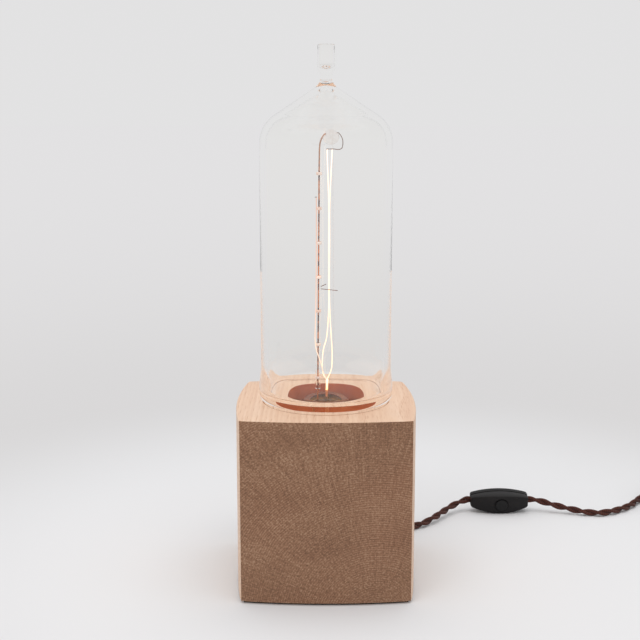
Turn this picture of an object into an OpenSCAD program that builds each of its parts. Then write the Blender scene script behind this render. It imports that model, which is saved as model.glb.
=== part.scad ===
// Glass table lamp: an oak block that carries a tall bottle-shaped filament bulb,
// with a twisted cord, a push-button switch on the cord and a two-pin plug.
// Millimetres, +Z up. The origin is the middle of the block's footprint, on the table.
// The front of the lamp faces -Y.

/* [Block] */
// Width and depth of the block, measured from corner to corner
block_w = 140; // [124:1:170]
// Height of the oak block without its pad
block_h = 152; // [148:1:180]
// How far each side swells past the straight line between its corners
side_swell = 5.5; // [2:0.5:9]
// How far the upright corners are eased
corner_ease = 0.8; // [0.4:0.1:2]
// Width of the well that takes the cap of the bulb
well_d = 66; // [56:1:78]
// Thickness of the web under the well
web_t = 18; // [15:1:20]
// Width of the cavity under the web
cavity_d = 70; // [64:1:74]

/* [Base pad and cover] */
// Thickness of the pad under the block
pad_t = 2; // [1.5:0.5:4]
// How far the pad stays inside the edges of the block
pad_inset = 3; // [2:0.5:6]
// Thickness of the cover that closes the cavity
cover_t = 3; // [2.5:0.5:4]
// Width of the ledge that carries the cover
ledge_w = 6; // [5:0.5:7]
// Shank width of the cover screws
cover_screw_d = 3; // [2.5:0.1:3.5]
// Length of the cover screws
cover_screw_len = 14; // [10:1:18]

/* [Glass] */
// Outside width of the glass tube
glass_d = 110; // [96:1:116]
// Wall of the glass tube
glass_wall = 5; // [3:0.5:6]
// Thickness of the flat glass floor
glass_floor = 6; // [4:0.5:8]
// Length of the stub, from the waist up to its rim
stub_len = 27; // [23:0.5:40]
// Height above the block at which the shoulder starts
body_h = 216.8; // [214:0.2:219]
// Radius of the bend from the tube into the cone
shoulder_r = 28; // [24:1:34]
// Slope of the cone against the table
cone_slope = 33; // [28:1:36]
// How far the sealed foot swells past the tube
foot_swell = 1.8; // [0.5:0.1:2.5]
// Radius of the circle on which the glass stands
foot_rest_r = 53; // [44:0.5:53.5]
// Height of the rounded edge of the foot
foot_edge_h = 11; // [8:0.5:14]
// Narrowest radius of the waist under the stub
waist_r = 4.75; // [4:0.25:6]
// Outside radius of the stub
stub_r = 7; // [6.5:0.25:8]
// Wall of the stub
stub_wall = 1.4; // [1:0.1:2]
// Outside radius of the glass neck under the floor
neck_r = 13; // [12.8:0.1:13.2]
// Length of the neck under the floor
neck_len = 13; // [12:1:13]
// Wall of the neck
neck_wall = 2; // [1.5:0.1:2.5]

/* [Bulb cap] */
// How far under the block's top the rim of the cap lies
cap_drop = 9; // [8:0.5:12]
// Height of the cap's shell
cap_shell_h = 22; // [21:0.5:25]
// Greatest radius of the cap's thread
cap_r = 13.2; // [13.1:0.05:13.3]
// Thickness of the cap's sheet
cap_sheet = 0.5; // [0.4:0.05:0.6]
// Height of the cap's insulator
insulator_h = 3.5; // [3:0.25:5]
// Height of the cap's end contact
contact_h = 2; // [1.5:0.25:2.5]
// Distance between two crests of the thread
thread_pitch = 3.6; // [3.4:0.1:3.8]

/* [Filament and its support] */
// Thickness of the support rod
rod_d = 1.4; // [1:0.1:1.8]
// Height of the rod above the glass floor's underside where it bends to the bead
rod_h = 216; // [205:1:217]
// Outside width of the rod's glass sleeve
sleeve_d = 4.2; // [3.6:0.1:4.6]
// Bore of the rod's glass sleeve
sleeve_bore = 2; // [1.9:0.1:2.4]
// Number of collars on the sleeve
collar_count = 7; // [5:1:7]
// Distance between two collars
collar_pitch = 28.8; // [26:0.1:29]
// Height of the lowest collar above the underside of the glass floor
collar_first = 19; // [17:0.5:21]
// Outside width of a collar
collar_d = 5.6; // [5.2:0.1:6]
// Height of a collar
collar_h = 2.4; // [1.8:0.1:3]
// Radius of the glass bead on top
bead_r = 6.8; // [6:0.1:7.4]
// Thickness of the top hook and its bar
hook_d = 0.8; // [0.6:0.1:1]
// Thickness of the filament
strand_d = 0.6; // [0.4:0.1:0.8]
// Thickness of the lower lead
lead_d = 1.2; // [1:0.1:1.6]

/* [Lampholder] */
// Outside radius of the lampholder
holder_r = 20.5; // [19.5:0.5:22]
// Wall of the lampholder's skirt
holder_wall = 3.2; // [2.5:0.1:3.6]
// Height of the lampholder's base from the floor of the well to its shoulder
holder_base_h = 28; // [26:1:32]
// Height of the spigot that the skirt is screwed on
spigot_h = 8; // [6:1:10]
// Thickness of the lampholder's insert
insert_t = 9; // [8:0.5:11]
// Space between the insert and the bulb's end contact
tongue_room = 4.5; // [4:0.5:6]
// Bore radius of the threaded sleeve
sleeve_r = 13.6; // [13.55:0.05:13.8]
// Outside width of the threaded tube that holds the lampholder
nipple_d = 10; // [9.5:0.5:11]
// Bore of the threaded tube
nipple_bore = 8; // [7.6:0.1:8.4]

/* [Cord] */
// Width of the twisted cord across both strands
cord_d = 6.6; // [6:0.1:6.8]
// How far the cord hole lies under the web
cord_drop = 20; // [19:1:22]
// Width of the cord hole
cord_hole_d = 11; // [10.5:0.5:13]
// Length of the bush's tapered nose
bush_nose = 12; // [11:1:12]
// Centre of the coil, to the right of the lamp
coil_x = 382; // [382:1:384]
// Centre of the coil, behind the middle of the lamp
coil_y = 180.5; // [180:0.5:182]
// Number of turns in the coil
coil_turns = 5.526; // [4.526, 5.526]
// Distance from one turn to the next
coil_pitch = 7.3; // [7.2:0.05:7.5]
// Rise from the lower layer to the upper layer
coil_rise = 7.1; // [7.05:0.05:7.4]
// Mean radius of the innermost turn
coil_inner_r = 28.7; // [28:0.1:29.4]

/* [Switch] */
// Length of the switch
switch_len = 57.4; // [57.4:0.2:58]
// Height of the switch in its middle, as it lies
switch_h = 19.4; // [18.8:0.2:21]
// Depth of the switch in its middle
switch_t = 18.3; // [17.8:0.1:20]
// How much the height tapers off from the middle to each end, on one side
switch_taper = 4.5; // [3.5:0.1:4.6]
// How much the front draws back from the middle to each end
switch_crown = 5.5; // [4:0.1:5.6]
// Depth of the rear shell
rear_t = 6; // [5.6:0.1:6.4]
// Wall of the switch's shells
switch_wall = 1.8; // [1.5:0.1:2]
// Width of the push button
button_d = 12; // [10:0.5:12.5]
// Travel of the push button
button_travel = 2.5; // [1.5:0.1:2.5]
// How far the switch leans towards the front
switch_lean = 12; // [8:1:15]

/* [Plug] */
// Width of the plug
plug_w = 35; // [32:1:36]
// Thickness of the plug
plug_t = 14; // [13:0.5:15]
// Length of the plug's body
plug_len = 36; // [34:1:38]
// Width of a pin
pin_d = 4; // [3.8:0.1:4.8]
// Length of a pin outside the body
pin_len = 19; // [18:0.5:19]
// Distance between the pins
pin_gap = 19; // [17:0.5:20]

/* [Hidden] */
$fn = 64;

oak = "#a97f63";
oak_cut = "#e2b48c";
dark_felt = "#2b2724";
black_plastic = "#2a2829";
porcelain = "#eeeae2";
brass = "#c9a24b";
steel = "#b9bcc0";
copper = "#8a4f33";
clear_glass = [0.85, 0.9, 0.92, 0.3];
glowing = "#ffd9a0";
textile = "#4a2620";

// clearances: fixed pieces, and pieces that move past each other
fit = 0.05;
run = 0.3;
cut = 1;

// heights that everything else hangs from
top_z = pad_t + block_h;
neck_end_z = top_z - neck_len;
cap_rim_z = top_z - cap_drop;
cap_foot_z = cap_rim_z - cap_shell_h;
cap_tip_z = cap_foot_z - insulator_h - contact_h;
insert_top = cap_tip_z - tongue_room;
insert_foot = insert_top - insert_t;
shoulder_z = insert_foot - spigot_h;
well_floor = shoulder_z - holder_base_h;
ceiling_z = well_floor - web_t;
cord_hole_z = ceiling_z - cord_drop;
nipple_drop = 10;
nipple_foot = ceiling_z - nipple_drop;
nipple_top = well_floor + 12;

// plan of the block
corner_r = block_w / sqrt(2);
back_y = block_w / 2 + side_swell;
side_r = (block_w * block_w / 4 + side_swell * side_swell) / (2 * side_swell);

// cover, screws and pad
cover_r = cavity_d / 2 + ledge_w;
pad_clear = 1;
sink_d = 6;
sink_h = 1.8;
slot_w = 0.8;

// bush and clamp of the cord
bush_sleeve = 10;
bush_flange_t = 2;
bush_flange_d = 14;
bush_tip_d = cord_d + 1.8;
bush_gap = 0.2;
cord_inner_y = 12;
grip_w = 28;
grip_len = 12;
grip_y = 14;
grip_foot = cord_hole_z - 8;
grip_screw_x = 10;
grip_screw_len = ceiling_z + 8 - grip_foot;

// lampholder
washer_t = 1.5;
nut_h = 4.5;
nut_across = 15;
holder_foot_r = 14;
holder_flare = 10;
cup_r = 14.5;
cup_floor = 8;
lip_ease = 1;
lip_h = 3;
tongue_x = 7.9;
tongue_w = 5;
tongue_t = 0.8;
tongue_over = 2;
rivet_d = 1.8;
side_rivet_x = 11;
sleeve_sheet = 0.5;
sleeve_top = cap_rim_z - 6;
flange_in = 9;
terminal_x = 8.5;
terminal_w = 8;
terminal_d = 7;
terminal_h = 7;
terminal_screw_d = 2.5;
terminal_head_d = 4;
wire_in = 2;
wire_d = 2.2;
wire_depth = 5;
core_x = 1.65;

// glass
neck_fillet = 2;
swell_run = 20;
waist_run = 4.25;
waist_drop = 7.1;
stub_flare = 9.6;
stub_bead = 0.25;
apex_r = 3.5;
corner_in = 5;

// cap of the bulb
thread_h = 0.45;
cap_skirt_h = 5;
cap_hole_r = 9.3;
cement_h = 5;
cement_in = 10;
contact_r = 5.5;
insulator_plug = 3;

// rod and filament, by height above the block
function above(x, y, h) = [x, y, top_z + h];
joint_up = 17;
route_h = 199;
function along(x, y, h) = above(x, y, joint_up + (h - joint_up) * (rod_h - joint_up) / route_h);
rod_foot_x = -7.05;
rod_head_x = -5.5;
rod_foot_z = top_z - 8;
rod_bend_z = top_z + rod_h;
rod_tip = above(0, 0, rod_h + 9);
sleeve_short = 18;
sleeve_top_z = top_z + rod_h - sleeve_short;
function rod_at(z) =
    [rod_foot_x + (rod_head_x - rod_foot_x) * (z - rod_foot_z) / (rod_bend_z - rod_foot_z), 0, z];
lead_foot_z = top_z - 4;
function lead_at(z) = [0.6 + (z - lead_foot_z) / 40, 0, z];
joint_at = above(1.2, 0, joint_up);
joint_r = 0.9;
bead_at = above(4, 0, rod_h + 6);
fine_d = 0.5;
hook_y = -0.8;
hook_reach = 9.8;
hook_route = [
    above(7.5, 0, rod_h + 8.5), above(10.4, 0, rod_h + 10.9), above(11.8, 0, rod_h + 10.6),
    above(13.1, 0, rod_h + 8.4), above(13.7, 0, rod_h + 5), above(13.7, 0, rod_h - 1),
    above(13.3, 0, rod_h - 3), above(12.2, 0, rod_h - 4), above(0.2, 0, rod_h - 4)
];
hang = 4.5;
left_route = [
    above(1.8, 0, rod_h - hang), along(2.1, 0, 198), along(2.6, 0, 184), along(2.8, 0, 170),
    along(2.8, 0, 136), along(2.8, 0, 106), along(2.8, 0, 78), along(1.8, 0, 63), along(0.3, 0, 52),
    along(-2, 0, 44), along(-3.2, 0, 34), along(-3, 0, 26), along(-1.6, 0, 20.5),
    along(0.45, 0, 17.9)
];
right_route = [
    above(7.3, 0, rod_h - hang), along(6.2, 0, 198), along(4.6, 0, 184), along(3.6, 0, 170),
    along(3.6, 0, 136), along(3.6, 0, 78), along(4.4, 0, 56), along(5.3, 0, 41), along(5.3, 0, 35),
    along(4.6, 0, 26), along(2.6, 0, 20.5), along(1.35, 0, 18)
];
outer_route = [
    along(-9, -1.7, 172), along(-8.9, -1.7, 136), along(-9.1, -1.8, 96), along(-9.4, -2, 66),
    along(-9.4, -2.6, 52), along(-8.3, -3.2, 44), along(-6.5, -3.4, 39), along(-4.6, -3, 34.5),
    along(-3.4, -2.2, 30), along(-2.2, -1.7, 24.5), along(-0.6, -1.3, 20), along(0.7, -0.85, 17.9)
];

// switch: its own axes are x along, y into the depth, z up the face
switch_x = 175.1;
switch_y = 147.8;
seam_y = switch_t - rear_t;
cord_notch_r = cord_d / 2 + 0.2;
switch_mid_z = switch_h / 2;
tall_r = (switch_len * switch_len / 4 + switch_taper * switch_taper) / (2 * switch_taper);
crown_r = (switch_len * switch_len / 4 + switch_crown * switch_crown) / (2 * switch_crown);
boss_r = 2.8;
ring_depth = 0.6;
ring_w = 0.85;
switch_screw_x = 19;
switch_screw_len = 12;
switch_screw_d = 2;
switch_sink_h = 1.4;
switch_sink_d = 4;
button_x = 1.1;
button_proud = 0.5;
button_ease = 0.6;
button_back = 4;
button_rim = 1.3;
button_rim_t = 1.4;
stem_len = 4;
stem_d = 4.8;
dimple_depth = 0.4;
dimple_d = 1.6;
spring_seat_y = 13.5;
spring_r = 3.3;
spring_wire = 0.7;
spring_turns = 5;
plate_t = 0.8;
plate_w = 6;
plate_x = 8.1;
plate_up = 2.8;
plate_wire_y = 14.4;
wire_straight = 0.8;
function in_switch(p) = [
    switch_x + p[0],
    switch_y + p[1] * cos(switch_lean) - p[2] * sin(switch_lean),
    p[1] * sin(switch_lean) + p[2] * cos(switch_lean)
];

// points of the cord on its way from the bush to the switch
lay_z = 3.5;
bush_end = [0, back_y + bush_flange_t + bush_nose, cord_hole_z];
function fall(k) = lay_z + (cord_hole_z - lay_z) * k;
cord_straight = 2.5;
lead_route = [
    bush_end, [0, 96, fall(0.985)], [4.5, 110.3, fall(0.849)], [16.4, 119.5, fall(0.6415)],
    [31.5, 120.1, fall(0.415)], [44.2, 112.1, fall(0.2075)], [49, 106.6, fall(0.1396)],
    [57, 100.7, fall(0.0642)], [68, 98, fall(0.0151)], [77, 99.6, lay_z],
    [86.3, 104.1, lay_z], [92.7, 108.5, lay_z], [98, 113.2, 4], [104, 118.8, 5.2],
    [110, 126, 5.9], [116, 134.5, 6.5], [123, 144, 7.3], [130.9, 152, 8.9], [138.7, 156.6, 10.5],
    in_switch([-switch_len / 2 - cord_straight, seam_y, switch_mid_z]),
    in_switch([-switch_len / 2, seam_y, switch_mid_z])
];

// points of the cord from the switch to the coil
coil_start_angle = 144.5;
coil_low_z = 4.5;
coil_out_r = coil_inner_r + coil_pitch * coil_turns / 2;
function around(r, a, z) = [coil_x + r * cos(a), coil_y + r * sin(a), z];
coil_entry = around(coil_out_r, coil_start_angle, coil_low_z)
    - cord_d * [cos(coil_start_angle - 90), sin(coil_start_angle - 90), 0];
tail_route = [
    in_switch([switch_len / 2, seam_y, switch_mid_z]),
    in_switch([switch_len / 2 + cord_straight, seam_y, switch_mid_z]), [211, 157.2, 11.7], [218, 155.2, 10.6],
    [226, 152.7, 9], [237, 149.5, 6.8], [244.5, 147.7, 5.6], [252, 145.2, 4.6], [259, 143.4, 3.9],
    [267, 141.9, lay_z], [274.5, 141.6, lay_z], [283, 144.2, lay_z], [291.5, 149, lay_z],
    [300.5, 155.5, lay_z], [309, 163.3, lay_z], [317.3, 174.6, lay_z], [324.8, 185.2, lay_z],
    [331.5, 194.6, 4], coil_entry
];

// the coil winds in on the lower layer, climbs in the middle half turn and winds out above
rings_per_turn = 24;
plug_lead = 37;
function ease(t) = let (u = min(1, max(0, t))) u * u * (3 - 2 * u);
function coil_point(t) =
    let (m = t - coil_turns / 2)
    around(coil_inner_r + coil_pitch * abs(m), coil_start_angle - 360 * t,
           coil_low_z + coil_rise * ease(m / 0.5 + 0.5));
coil_end_angle = coil_start_angle - 360 * coil_turns;
coil_end_dir = [cos(coil_end_angle - 90), sin(coil_end_angle - 90), 0];
coil_steps = floor(coil_turns * rings_per_turn);
coil_last = coil_point(coil_turns);
plug_axis_z = plug_t / 2;
coil_route = concat(
    [coil_entry],
    [for (i = [0 : coil_steps]) coil_point(coil_turns * i / coil_steps)],
    [for (k = [1 : 5]) let (t = k / 5)
        [coil_last[0], coil_last[1], 0] + coil_end_dir * (plug_lead - cord_d) * t
        + [0, 0, coil_last[2] + (plug_axis_z - coil_last[2]) * ease(t)]],
    [[coil_last[0], coil_last[1], plug_axis_z] + coil_end_dir * plug_lead]
);
plug_at = coil_route[len(coil_route) - 1];

// plug and tie
plug_neck = 14;
plug_waist_x = 6;
plug_shoulder_x = 16;
pin_root = 8;
tie_angle = 45;
tie_turn = (coil_start_angle - tie_angle) / 360;
tie_t = 0.8;
tie_w = 8;
tie_gap = 0.6;

// least gap between the coil's turns, measured on its points and printed
function least(v) = min(v);
coil_gap = least([
    for (i = [0 : coil_steps]) for (j = [i + rings_per_turn / 2 : 1 : coil_steps])
        norm(coil_route[i + 1] - coil_route[j + 1])
]) - cord_d;
echo(least_gap_between_turns = coil_gap);  // cord_coil

// A tube of the given radius along points. ref is a direction the tube never follows.
function unit(v) = v / norm(v);
function heading(p, i) = unit(p[min(i + 1, len(p) - 1)] - p[max(i - 1, 0)]);
module tube(p, r, sides = 6, ref = [0, 0, 1]) {
    n = len(p);
    spots = [
        for (i = [0 : n - 1])
            let (t = heading(p, i), s = unit(cross(t, ref)), u = cross(s, t))
            for (k = [0 : sides - 1])
                let (a = 360 * (k + 0.5) / sides) p[i] + r * (cos(a) * s + sin(a) * u)
    ];
    walls = [
        for (i = [0 : n - 2]) for (k = [0 : sides - 1])
            let (a = i * sides + k, b = i * sides + (k + 1) % sides)
            each [[a, b, b + sides], [a, b + sides, a + sides]]
    ];
    near_end = [for (k = [1 : sides - 2]) [0, k + 1, k]];
    far = (n - 1) * sides;
    far_end = [for (k = [1 : sides - 2]) [far, far + k, far + k + 1]];
    polyhedron(spots, concat(walls, near_end, far_end));
}

// A round bar between two points.
module bar(a, b, d) {
    v = b - a;
    translate(a) rotate([0, acos(v[2] / norm(v)), atan2(v[1], v[0])]) cylinder(h = norm(v), d = d);
}

module tube_ring(r_out, r_in, h) {
    difference() {
        cylinder(h = h, r = r_out);
        translate([0, 0, -cut]) cylinder(h = h + 2 * cut, r = r_in);
    }
}

// A screw along +Z with its head at the bottom.
module screw(d, len, head_d, head_h) {
    cylinder(h = len, d = d);
    cylinder(h = head_h, d = head_d);
}

// One swelling side of the block, as the disc that it is cut from.
module side_disc(turn, inset, h) {
    rotate(turn) translate([0, back_y - side_r, 0]) cylinder(h = h, r = side_r - inset, $fn = 360);
}

// The block's outline as a solid between two heights, drawn in by inset.
module plan_solid(inset, z0, z1) {
    translate([0, 0, z0]) intersection() {
        cylinder(h = z1 - z0, r = corner_r - corner_ease - inset, $fn = 180);
        side_disc(0, inset, z1 - z0);
        side_disc(90, inset, z1 - z0);
        side_disc(180, inset, z1 - z0);
        side_disc(270, inset, z1 - z0);
    }
}

// Places that several parts share.
module along_y(y) {
    translate([0, y, cord_hole_z]) rotate([-90, 0, 0]) children();
}
module at_cover_screws() {
    for (a = [30, 150, 270]) rotate(a) translate([cover_r - ledge_w / 2, 0, pad_t]) children();
}
module at_grip_screws() {
    for (side = [-1, 1]) translate([side * grip_screw_x, grip_y + grip_len / 2, grip_foot]) children();
}
module at_terminals() {
    for (side = [0, 180]) rotate(side) translate([terminal_x, 0, insert_foot]) children();
}
module on_switch() {
    translate([switch_x, switch_y, 0]) rotate([switch_lean, 0, 0]) children();
}
module on_button(y) {
    on_switch() translate([button_x, y, switch_mid_z]) rotate([-90, 0, 0]) children();
}
module at_switch_screws() {
    for (side = [-1, 1])
        on_switch() translate([side * switch_screw_x, switch_t, switch_mid_z])
            rotate([90, 0, 0]) children();
}
module on_plug() {
    translate([plug_at[0], plug_at[1], 0]) rotate(coil_end_angle - 90) children();
}

// Block, pad and cover
module wood_block() {
    color(oak) difference() {
        plan_solid(0, pad_t, top_z);
        translate([0, 0, well_floor]) cylinder(h = top_z - well_floor + cut, d = well_d);
        translate([0, 0, pad_t - cut]) cylinder(h = ceiling_z - pad_t + cut, d = cavity_d);
        translate([0, 0, pad_t - cut]) cylinder(h = cover_t + cut, r = cover_r);
        translate([0, 0, ceiling_z - cut]) cylinder(h = web_t + 2 * cut, d = nipple_d + 2 * fit);
        along_y(0) cylinder(h = back_y + cut, d = cord_hole_d);
        at_cover_screws() cylinder(h = cover_screw_len + cut, d = cover_screw_d + 2 * fit);
        at_grip_screws() cylinder(h = grip_screw_len + cut, d = cover_screw_d + 2 * fit);
    }
}
module base_pad() {
    color(dark_felt) difference() {
        plan_solid(pad_inset, 0, pad_t);
        translate([0, 0, -cut]) cylinder(h = pad_t + 2 * cut, r = cover_r + pad_clear);
    }
}
module cavity_cover() {
    color(black_plastic) difference() {
        translate([0, 0, pad_t]) cylinder(h = cover_t, r = cover_r - fit);
        at_cover_screws() {
            translate([0, 0, -cut]) cylinder(h = cover_t + 2 * cut, d = cover_screw_d + 2 * run);
            cylinder(h = sink_h, d1 = sink_d + 2 * fit, d2 = cover_screw_d + 2 * fit);
            translate([0, 0, -cut]) cylinder(h = cut, d = sink_d + 2 * fit);
        }
    }
}
module cover_screws() {
    color(steel) at_cover_screws() difference() {
        union() {
            cylinder(h = cover_screw_len, d = cover_screw_d);
            cylinder(h = sink_h, d1 = sink_d, d2 = cover_screw_d);
        }
        translate([-sink_d / 2, -slot_w / 2, -cut]) cube([sink_d, slot_w, cut + slot_w]);
    }
}

// Cord where it enters the block, and the clamp that takes its pull
module cord_bush() {
    color(black_plastic) difference() {
        union() {
            along_y(back_y - bush_sleeve) cylinder(h = bush_sleeve + cut, d = cord_hole_d - 2 * fit);
            along_y(back_y) cylinder(h = bush_flange_t, d = bush_flange_d);
            along_y(back_y + bush_flange_t) cylinder(h = bush_nose, d1 = cord_hole_d, d2 = bush_tip_d);
        }
        along_y(back_y - bush_sleeve - cut)
            cylinder(h = bush_sleeve + bush_flange_t + bush_nose + 2 * cut, d = cord_d + 2 * bush_gap);
    }
}
module cord_inner() {
    color(textile) along_y(cord_inner_y) cylinder(h = bush_end[1] - cord_inner_y, d = cord_d);
}
module cord_grip() {
    color(black_plastic) difference() {
        translate([-grip_w / 2, grip_y, cord_hole_z + run])
            cube([grip_w, grip_len, ceiling_z - cord_hole_z - run]);
        along_y(grip_y - cut) cylinder(h = grip_len + 2 * cut, d = cord_d + 2 * fit);
        at_grip_screws() cylinder(h = grip_screw_len, d = cover_screw_d + 2 * run);
    }
}
module grip_bar() {
    color(black_plastic) difference() {
        translate([-grip_w / 2, grip_y, grip_foot])
            cube([grip_w, grip_len, cord_hole_z - run - grip_foot]);
        along_y(grip_y - cut) cylinder(h = grip_len + 2 * cut, d = cord_d + 2 * fit);
        at_grip_screws() translate([0, 0, -cut])
            cylinder(h = grip_screw_len, d = cover_screw_d + 2 * run);
    }
}
module grip_screws() {
    color(steel) at_grip_screws() {
        cylinder(h = grip_screw_len, d = cover_screw_d);
        translate([0, 0, -slot_w - cut]) difference() {
            cylinder(h = slot_w + cut, d = sink_d);
            translate([-sink_d / 2, -slot_w / 2, -cut]) cube([sink_d, slot_w, cut + slot_w]);
        }
    }
}

// Threaded tube through the web, with its washer and nut
module nipple() {
    color(steel) translate([0, 0, nipple_foot])
        tube_ring(nipple_d / 2, nipple_bore / 2, nipple_top - nipple_foot);
}
module nipple_washer() {
    color(steel) translate([0, 0, ceiling_z - washer_t])
        tube_ring(nipple_d, nipple_d / 2 + fit, washer_t);
}
module nipple_nut() {
    color(steel) translate([0, 0, ceiling_z - washer_t - nut_h]) difference() {
        cylinder(h = nut_h, r = nut_across / sqrt(3), $fn = 6);
        translate([0, 0, -cut]) cylinder(h = nut_h + 2 * cut, d = nipple_d + 2 * fit);
    }
}

// Lampholder
module holder_base() {
    spigot_r = holder_r - holder_wall - fit;
    color(black_plastic) rotate_extrude() polygon([
        [nipple_d / 2 + fit, well_floor], [holder_foot_r, well_floor],
        [holder_r, well_floor + holder_flare], [holder_r, shoulder_z],
        [spigot_r, shoulder_z], [spigot_r, insert_foot], [cup_r, insert_foot],
        [cup_r, well_floor + cup_floor], [nipple_d / 2 + fit, well_floor + cup_floor]
    ]);
}
module holder_skirt() {
    skirt_in = holder_r - holder_wall;
    lip_in = sleeve_r + sleeve_sheet + 2 * fit;
    skirt_top = cap_rim_z + cut;
    color(black_plastic) rotate_extrude() polygon([
        [skirt_in, shoulder_z], [holder_r, shoulder_z], [holder_r, skirt_top - lip_ease],
        [holder_r - lip_ease, skirt_top], [lip_in, skirt_top], [lip_in, skirt_top - lip_h],
        [skirt_in, skirt_top - lip_h - (skirt_in - lip_in)]
    ]);
}
module holder_insert() {
    color(porcelain) difference() {
        translate([0, 0, insert_foot]) cylinder(h = insert_t, r = holder_r - holder_wall - 2 * fit);
        translate([-tongue_x, 0, insert_foot - cut])
            cylinder(h = insert_t + 2 * cut, d = rivet_d + 2 * fit);
        translate([side_rivet_x, 0, insert_foot - cut])
            cylinder(h = insert_t + 2 * cut, d = rivet_d + 2 * fit);
    }
}
module holder_sleeve() {
    color(brass) rotate_extrude() polygon([
        [flange_in, insert_top], [sleeve_r + sleeve_sheet, insert_top],
        [sleeve_r + sleeve_sheet, sleeve_top], [sleeve_r, sleeve_top],
        [sleeve_r, insert_top + sleeve_sheet], [flange_in, insert_top + sleeve_sheet]
    ]);
}
module terminal_body() {
    difference() {
        translate([-terminal_w / 2, -terminal_d / 2, -terminal_h])
            cube([terminal_w, terminal_d, terminal_h]);
        translate([-wire_in, 0, -terminal_h - cut]) cylinder(h = wire_depth + cut, d = wire_d + 2 * fit);
        translate([wire_in, 0, -terminal_h - cut])
            cylinder(h = wire_depth + cut, d = terminal_screw_d + 2 * fit);
    }
}
module centre_spring() {
    tip = cap_tip_z - run;
    color(brass) {
        rotate(180) translate([terminal_x, 0, insert_foot]) terminal_body();
        translate([-tongue_x, 0, insert_foot]) cylinder(h = insert_t, d = rivet_d);
        translate([-tongue_x, -tongue_w / 2, insert_top])
            cube([tongue_t, tongue_w, tip - insert_top]);
        translate([-tongue_x, -tongue_w / 2, tip - tongue_t])
            cube([tongue_x + tongue_over, tongue_w, tongue_t]);
    }
}
module side_contact() {
    color(brass) {
        translate([terminal_x, 0, insert_foot]) terminal_body();
        translate([side_rivet_x, 0, insert_foot]) cylinder(h = insert_t, d = rivet_d);
    }
}
module terminal_screws() {
    color(steel) at_terminals() translate([wire_in, 0, -terminal_h]) {
        cylinder(h = wire_depth - cut, d = terminal_screw_d);
        translate([0, 0, -slot_w - cut]) difference() {
            cylinder(h = slot_w + cut, d = terminal_head_d);
            translate([-terminal_head_d / 2, -slot_w / 2, -cut])
                cube([terminal_head_d, slot_w, cut + slot_w]);
        }
    }
}
module holder_wires() {
    color(copper) for (side = [-1, 1]) tube([
        [side * core_x, cord_inner_y, cord_hole_z],
        [side * core_x, cord_inner_y - 5, cord_hole_z + 0.5],
        [side * core_x, 3, cord_hole_z + 2.7],
        [side * core_x, 0.8, nipple_foot - 3],
        [side * core_x, 0, nipple_foot + 2],
        [side * core_x, 0, nipple_top],
        [side * 3, 0, nipple_top + 6],
        [side * (terminal_x - wire_in) * 0.9, 0, nipple_top + 12],
        [side * (terminal_x - wire_in), 0, insert_foot - terminal_h],
        [side * (terminal_x - wire_in), 0, insert_foot - terminal_h + wire_depth - cut]
    ], wire_d / 2, 8, [1, 0, 0]);
}

// Glass bulb: profile points as radius and height above the block
function arc(cx, cz, rx, rz, a0, a1, n) =
    [for (i = [0 : n]) let (a = a0 + (a1 - a0) * i / n) [cx + rx * cos(a), cz + rz * sin(a)]];
function eased(r0, z0, r1, z1, n) =
    [for (i = [1 : n]) [r0 + (r1 - r0) * ease(i / n), z0 + (z1 - z0) * i / n]];
module glass_envelope() {
    tube_r = glass_d / 2;
    in_r = tube_r - glass_wall;
    bend_r = tube_r - shoulder_r;
    turn = 90 - cone_slope;
    cone_r = bend_r + shoulder_r * cos(turn);
    cone_z = body_h + shoulder_r * sin(turn);
    throat_r = waist_r + waist_run;
    throat_z = cone_z + (cone_r - throat_r) * tan(cone_slope);
    waist_z = throat_z + waist_drop;
    glass_top = waist_z + stub_len;
    in_bend = shoulder_r - glass_wall;
    in_cone_r = bend_r + in_bend * cos(turn);
    in_cone_z = body_h + in_bend * sin(turn);
    in_top_z = in_cone_z + (in_cone_r - apex_r) * tan(cone_slope);
    profile = concat(
        [[0, 0], [neck_r - neck_wall, 0], [neck_r - neck_wall, -neck_len], [neck_r, -neck_len],
         [neck_r, -neck_fillet], [neck_r + neck_fillet, 0]],
        arc(foot_rest_r, foot_edge_h, tube_r + foot_swell - foot_rest_r, foot_edge_h, -90, 0, 5),
        eased(tube_r + foot_swell, foot_edge_h, tube_r, foot_edge_h + swell_run, 4),
        arc(bend_r, body_h, shoulder_r, shoulder_r, 0, turn, 6),
        [for (i = [0 : 3]) let (u = i / 4)
            [waist_r + waist_run * (1 - u) * (1 - u), throat_z + waist_drop * u]],
        [[waist_r, waist_z]],
        eased(waist_r, waist_z, stub_r + stub_bead, waist_z + stub_flare, 4),
        [[stub_r, waist_z + stub_flare + 2], [stub_r, glass_top],
         [stub_r - stub_wall, glass_top], [stub_r - stub_wall, waist_z + stub_flare + 2],
         [0, waist_z + stub_flare - 2], [0, in_top_z + apex_r / 2], [apex_r, in_top_z]],
        arc(bend_r, body_h, in_bend, in_bend, turn, 0, 5),
        arc(in_r - corner_in, glass_floor + corner_in, corner_in, corner_in, 0, -90, 4),
        [[0, glass_floor]]
    );
    color(clear_glass) difference() {
        translate([0, 0, top_z]) rotate_extrude() polygon(profile);
        bar(rod_at(rod_foot_z), rod_at(top_z + glass_floor + cut), rod_d + 2 * fit);
        bar(lead_at(lead_foot_z), lead_at(top_z + glass_floor + cut), lead_d + 2 * fit);
    }
}

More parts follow.
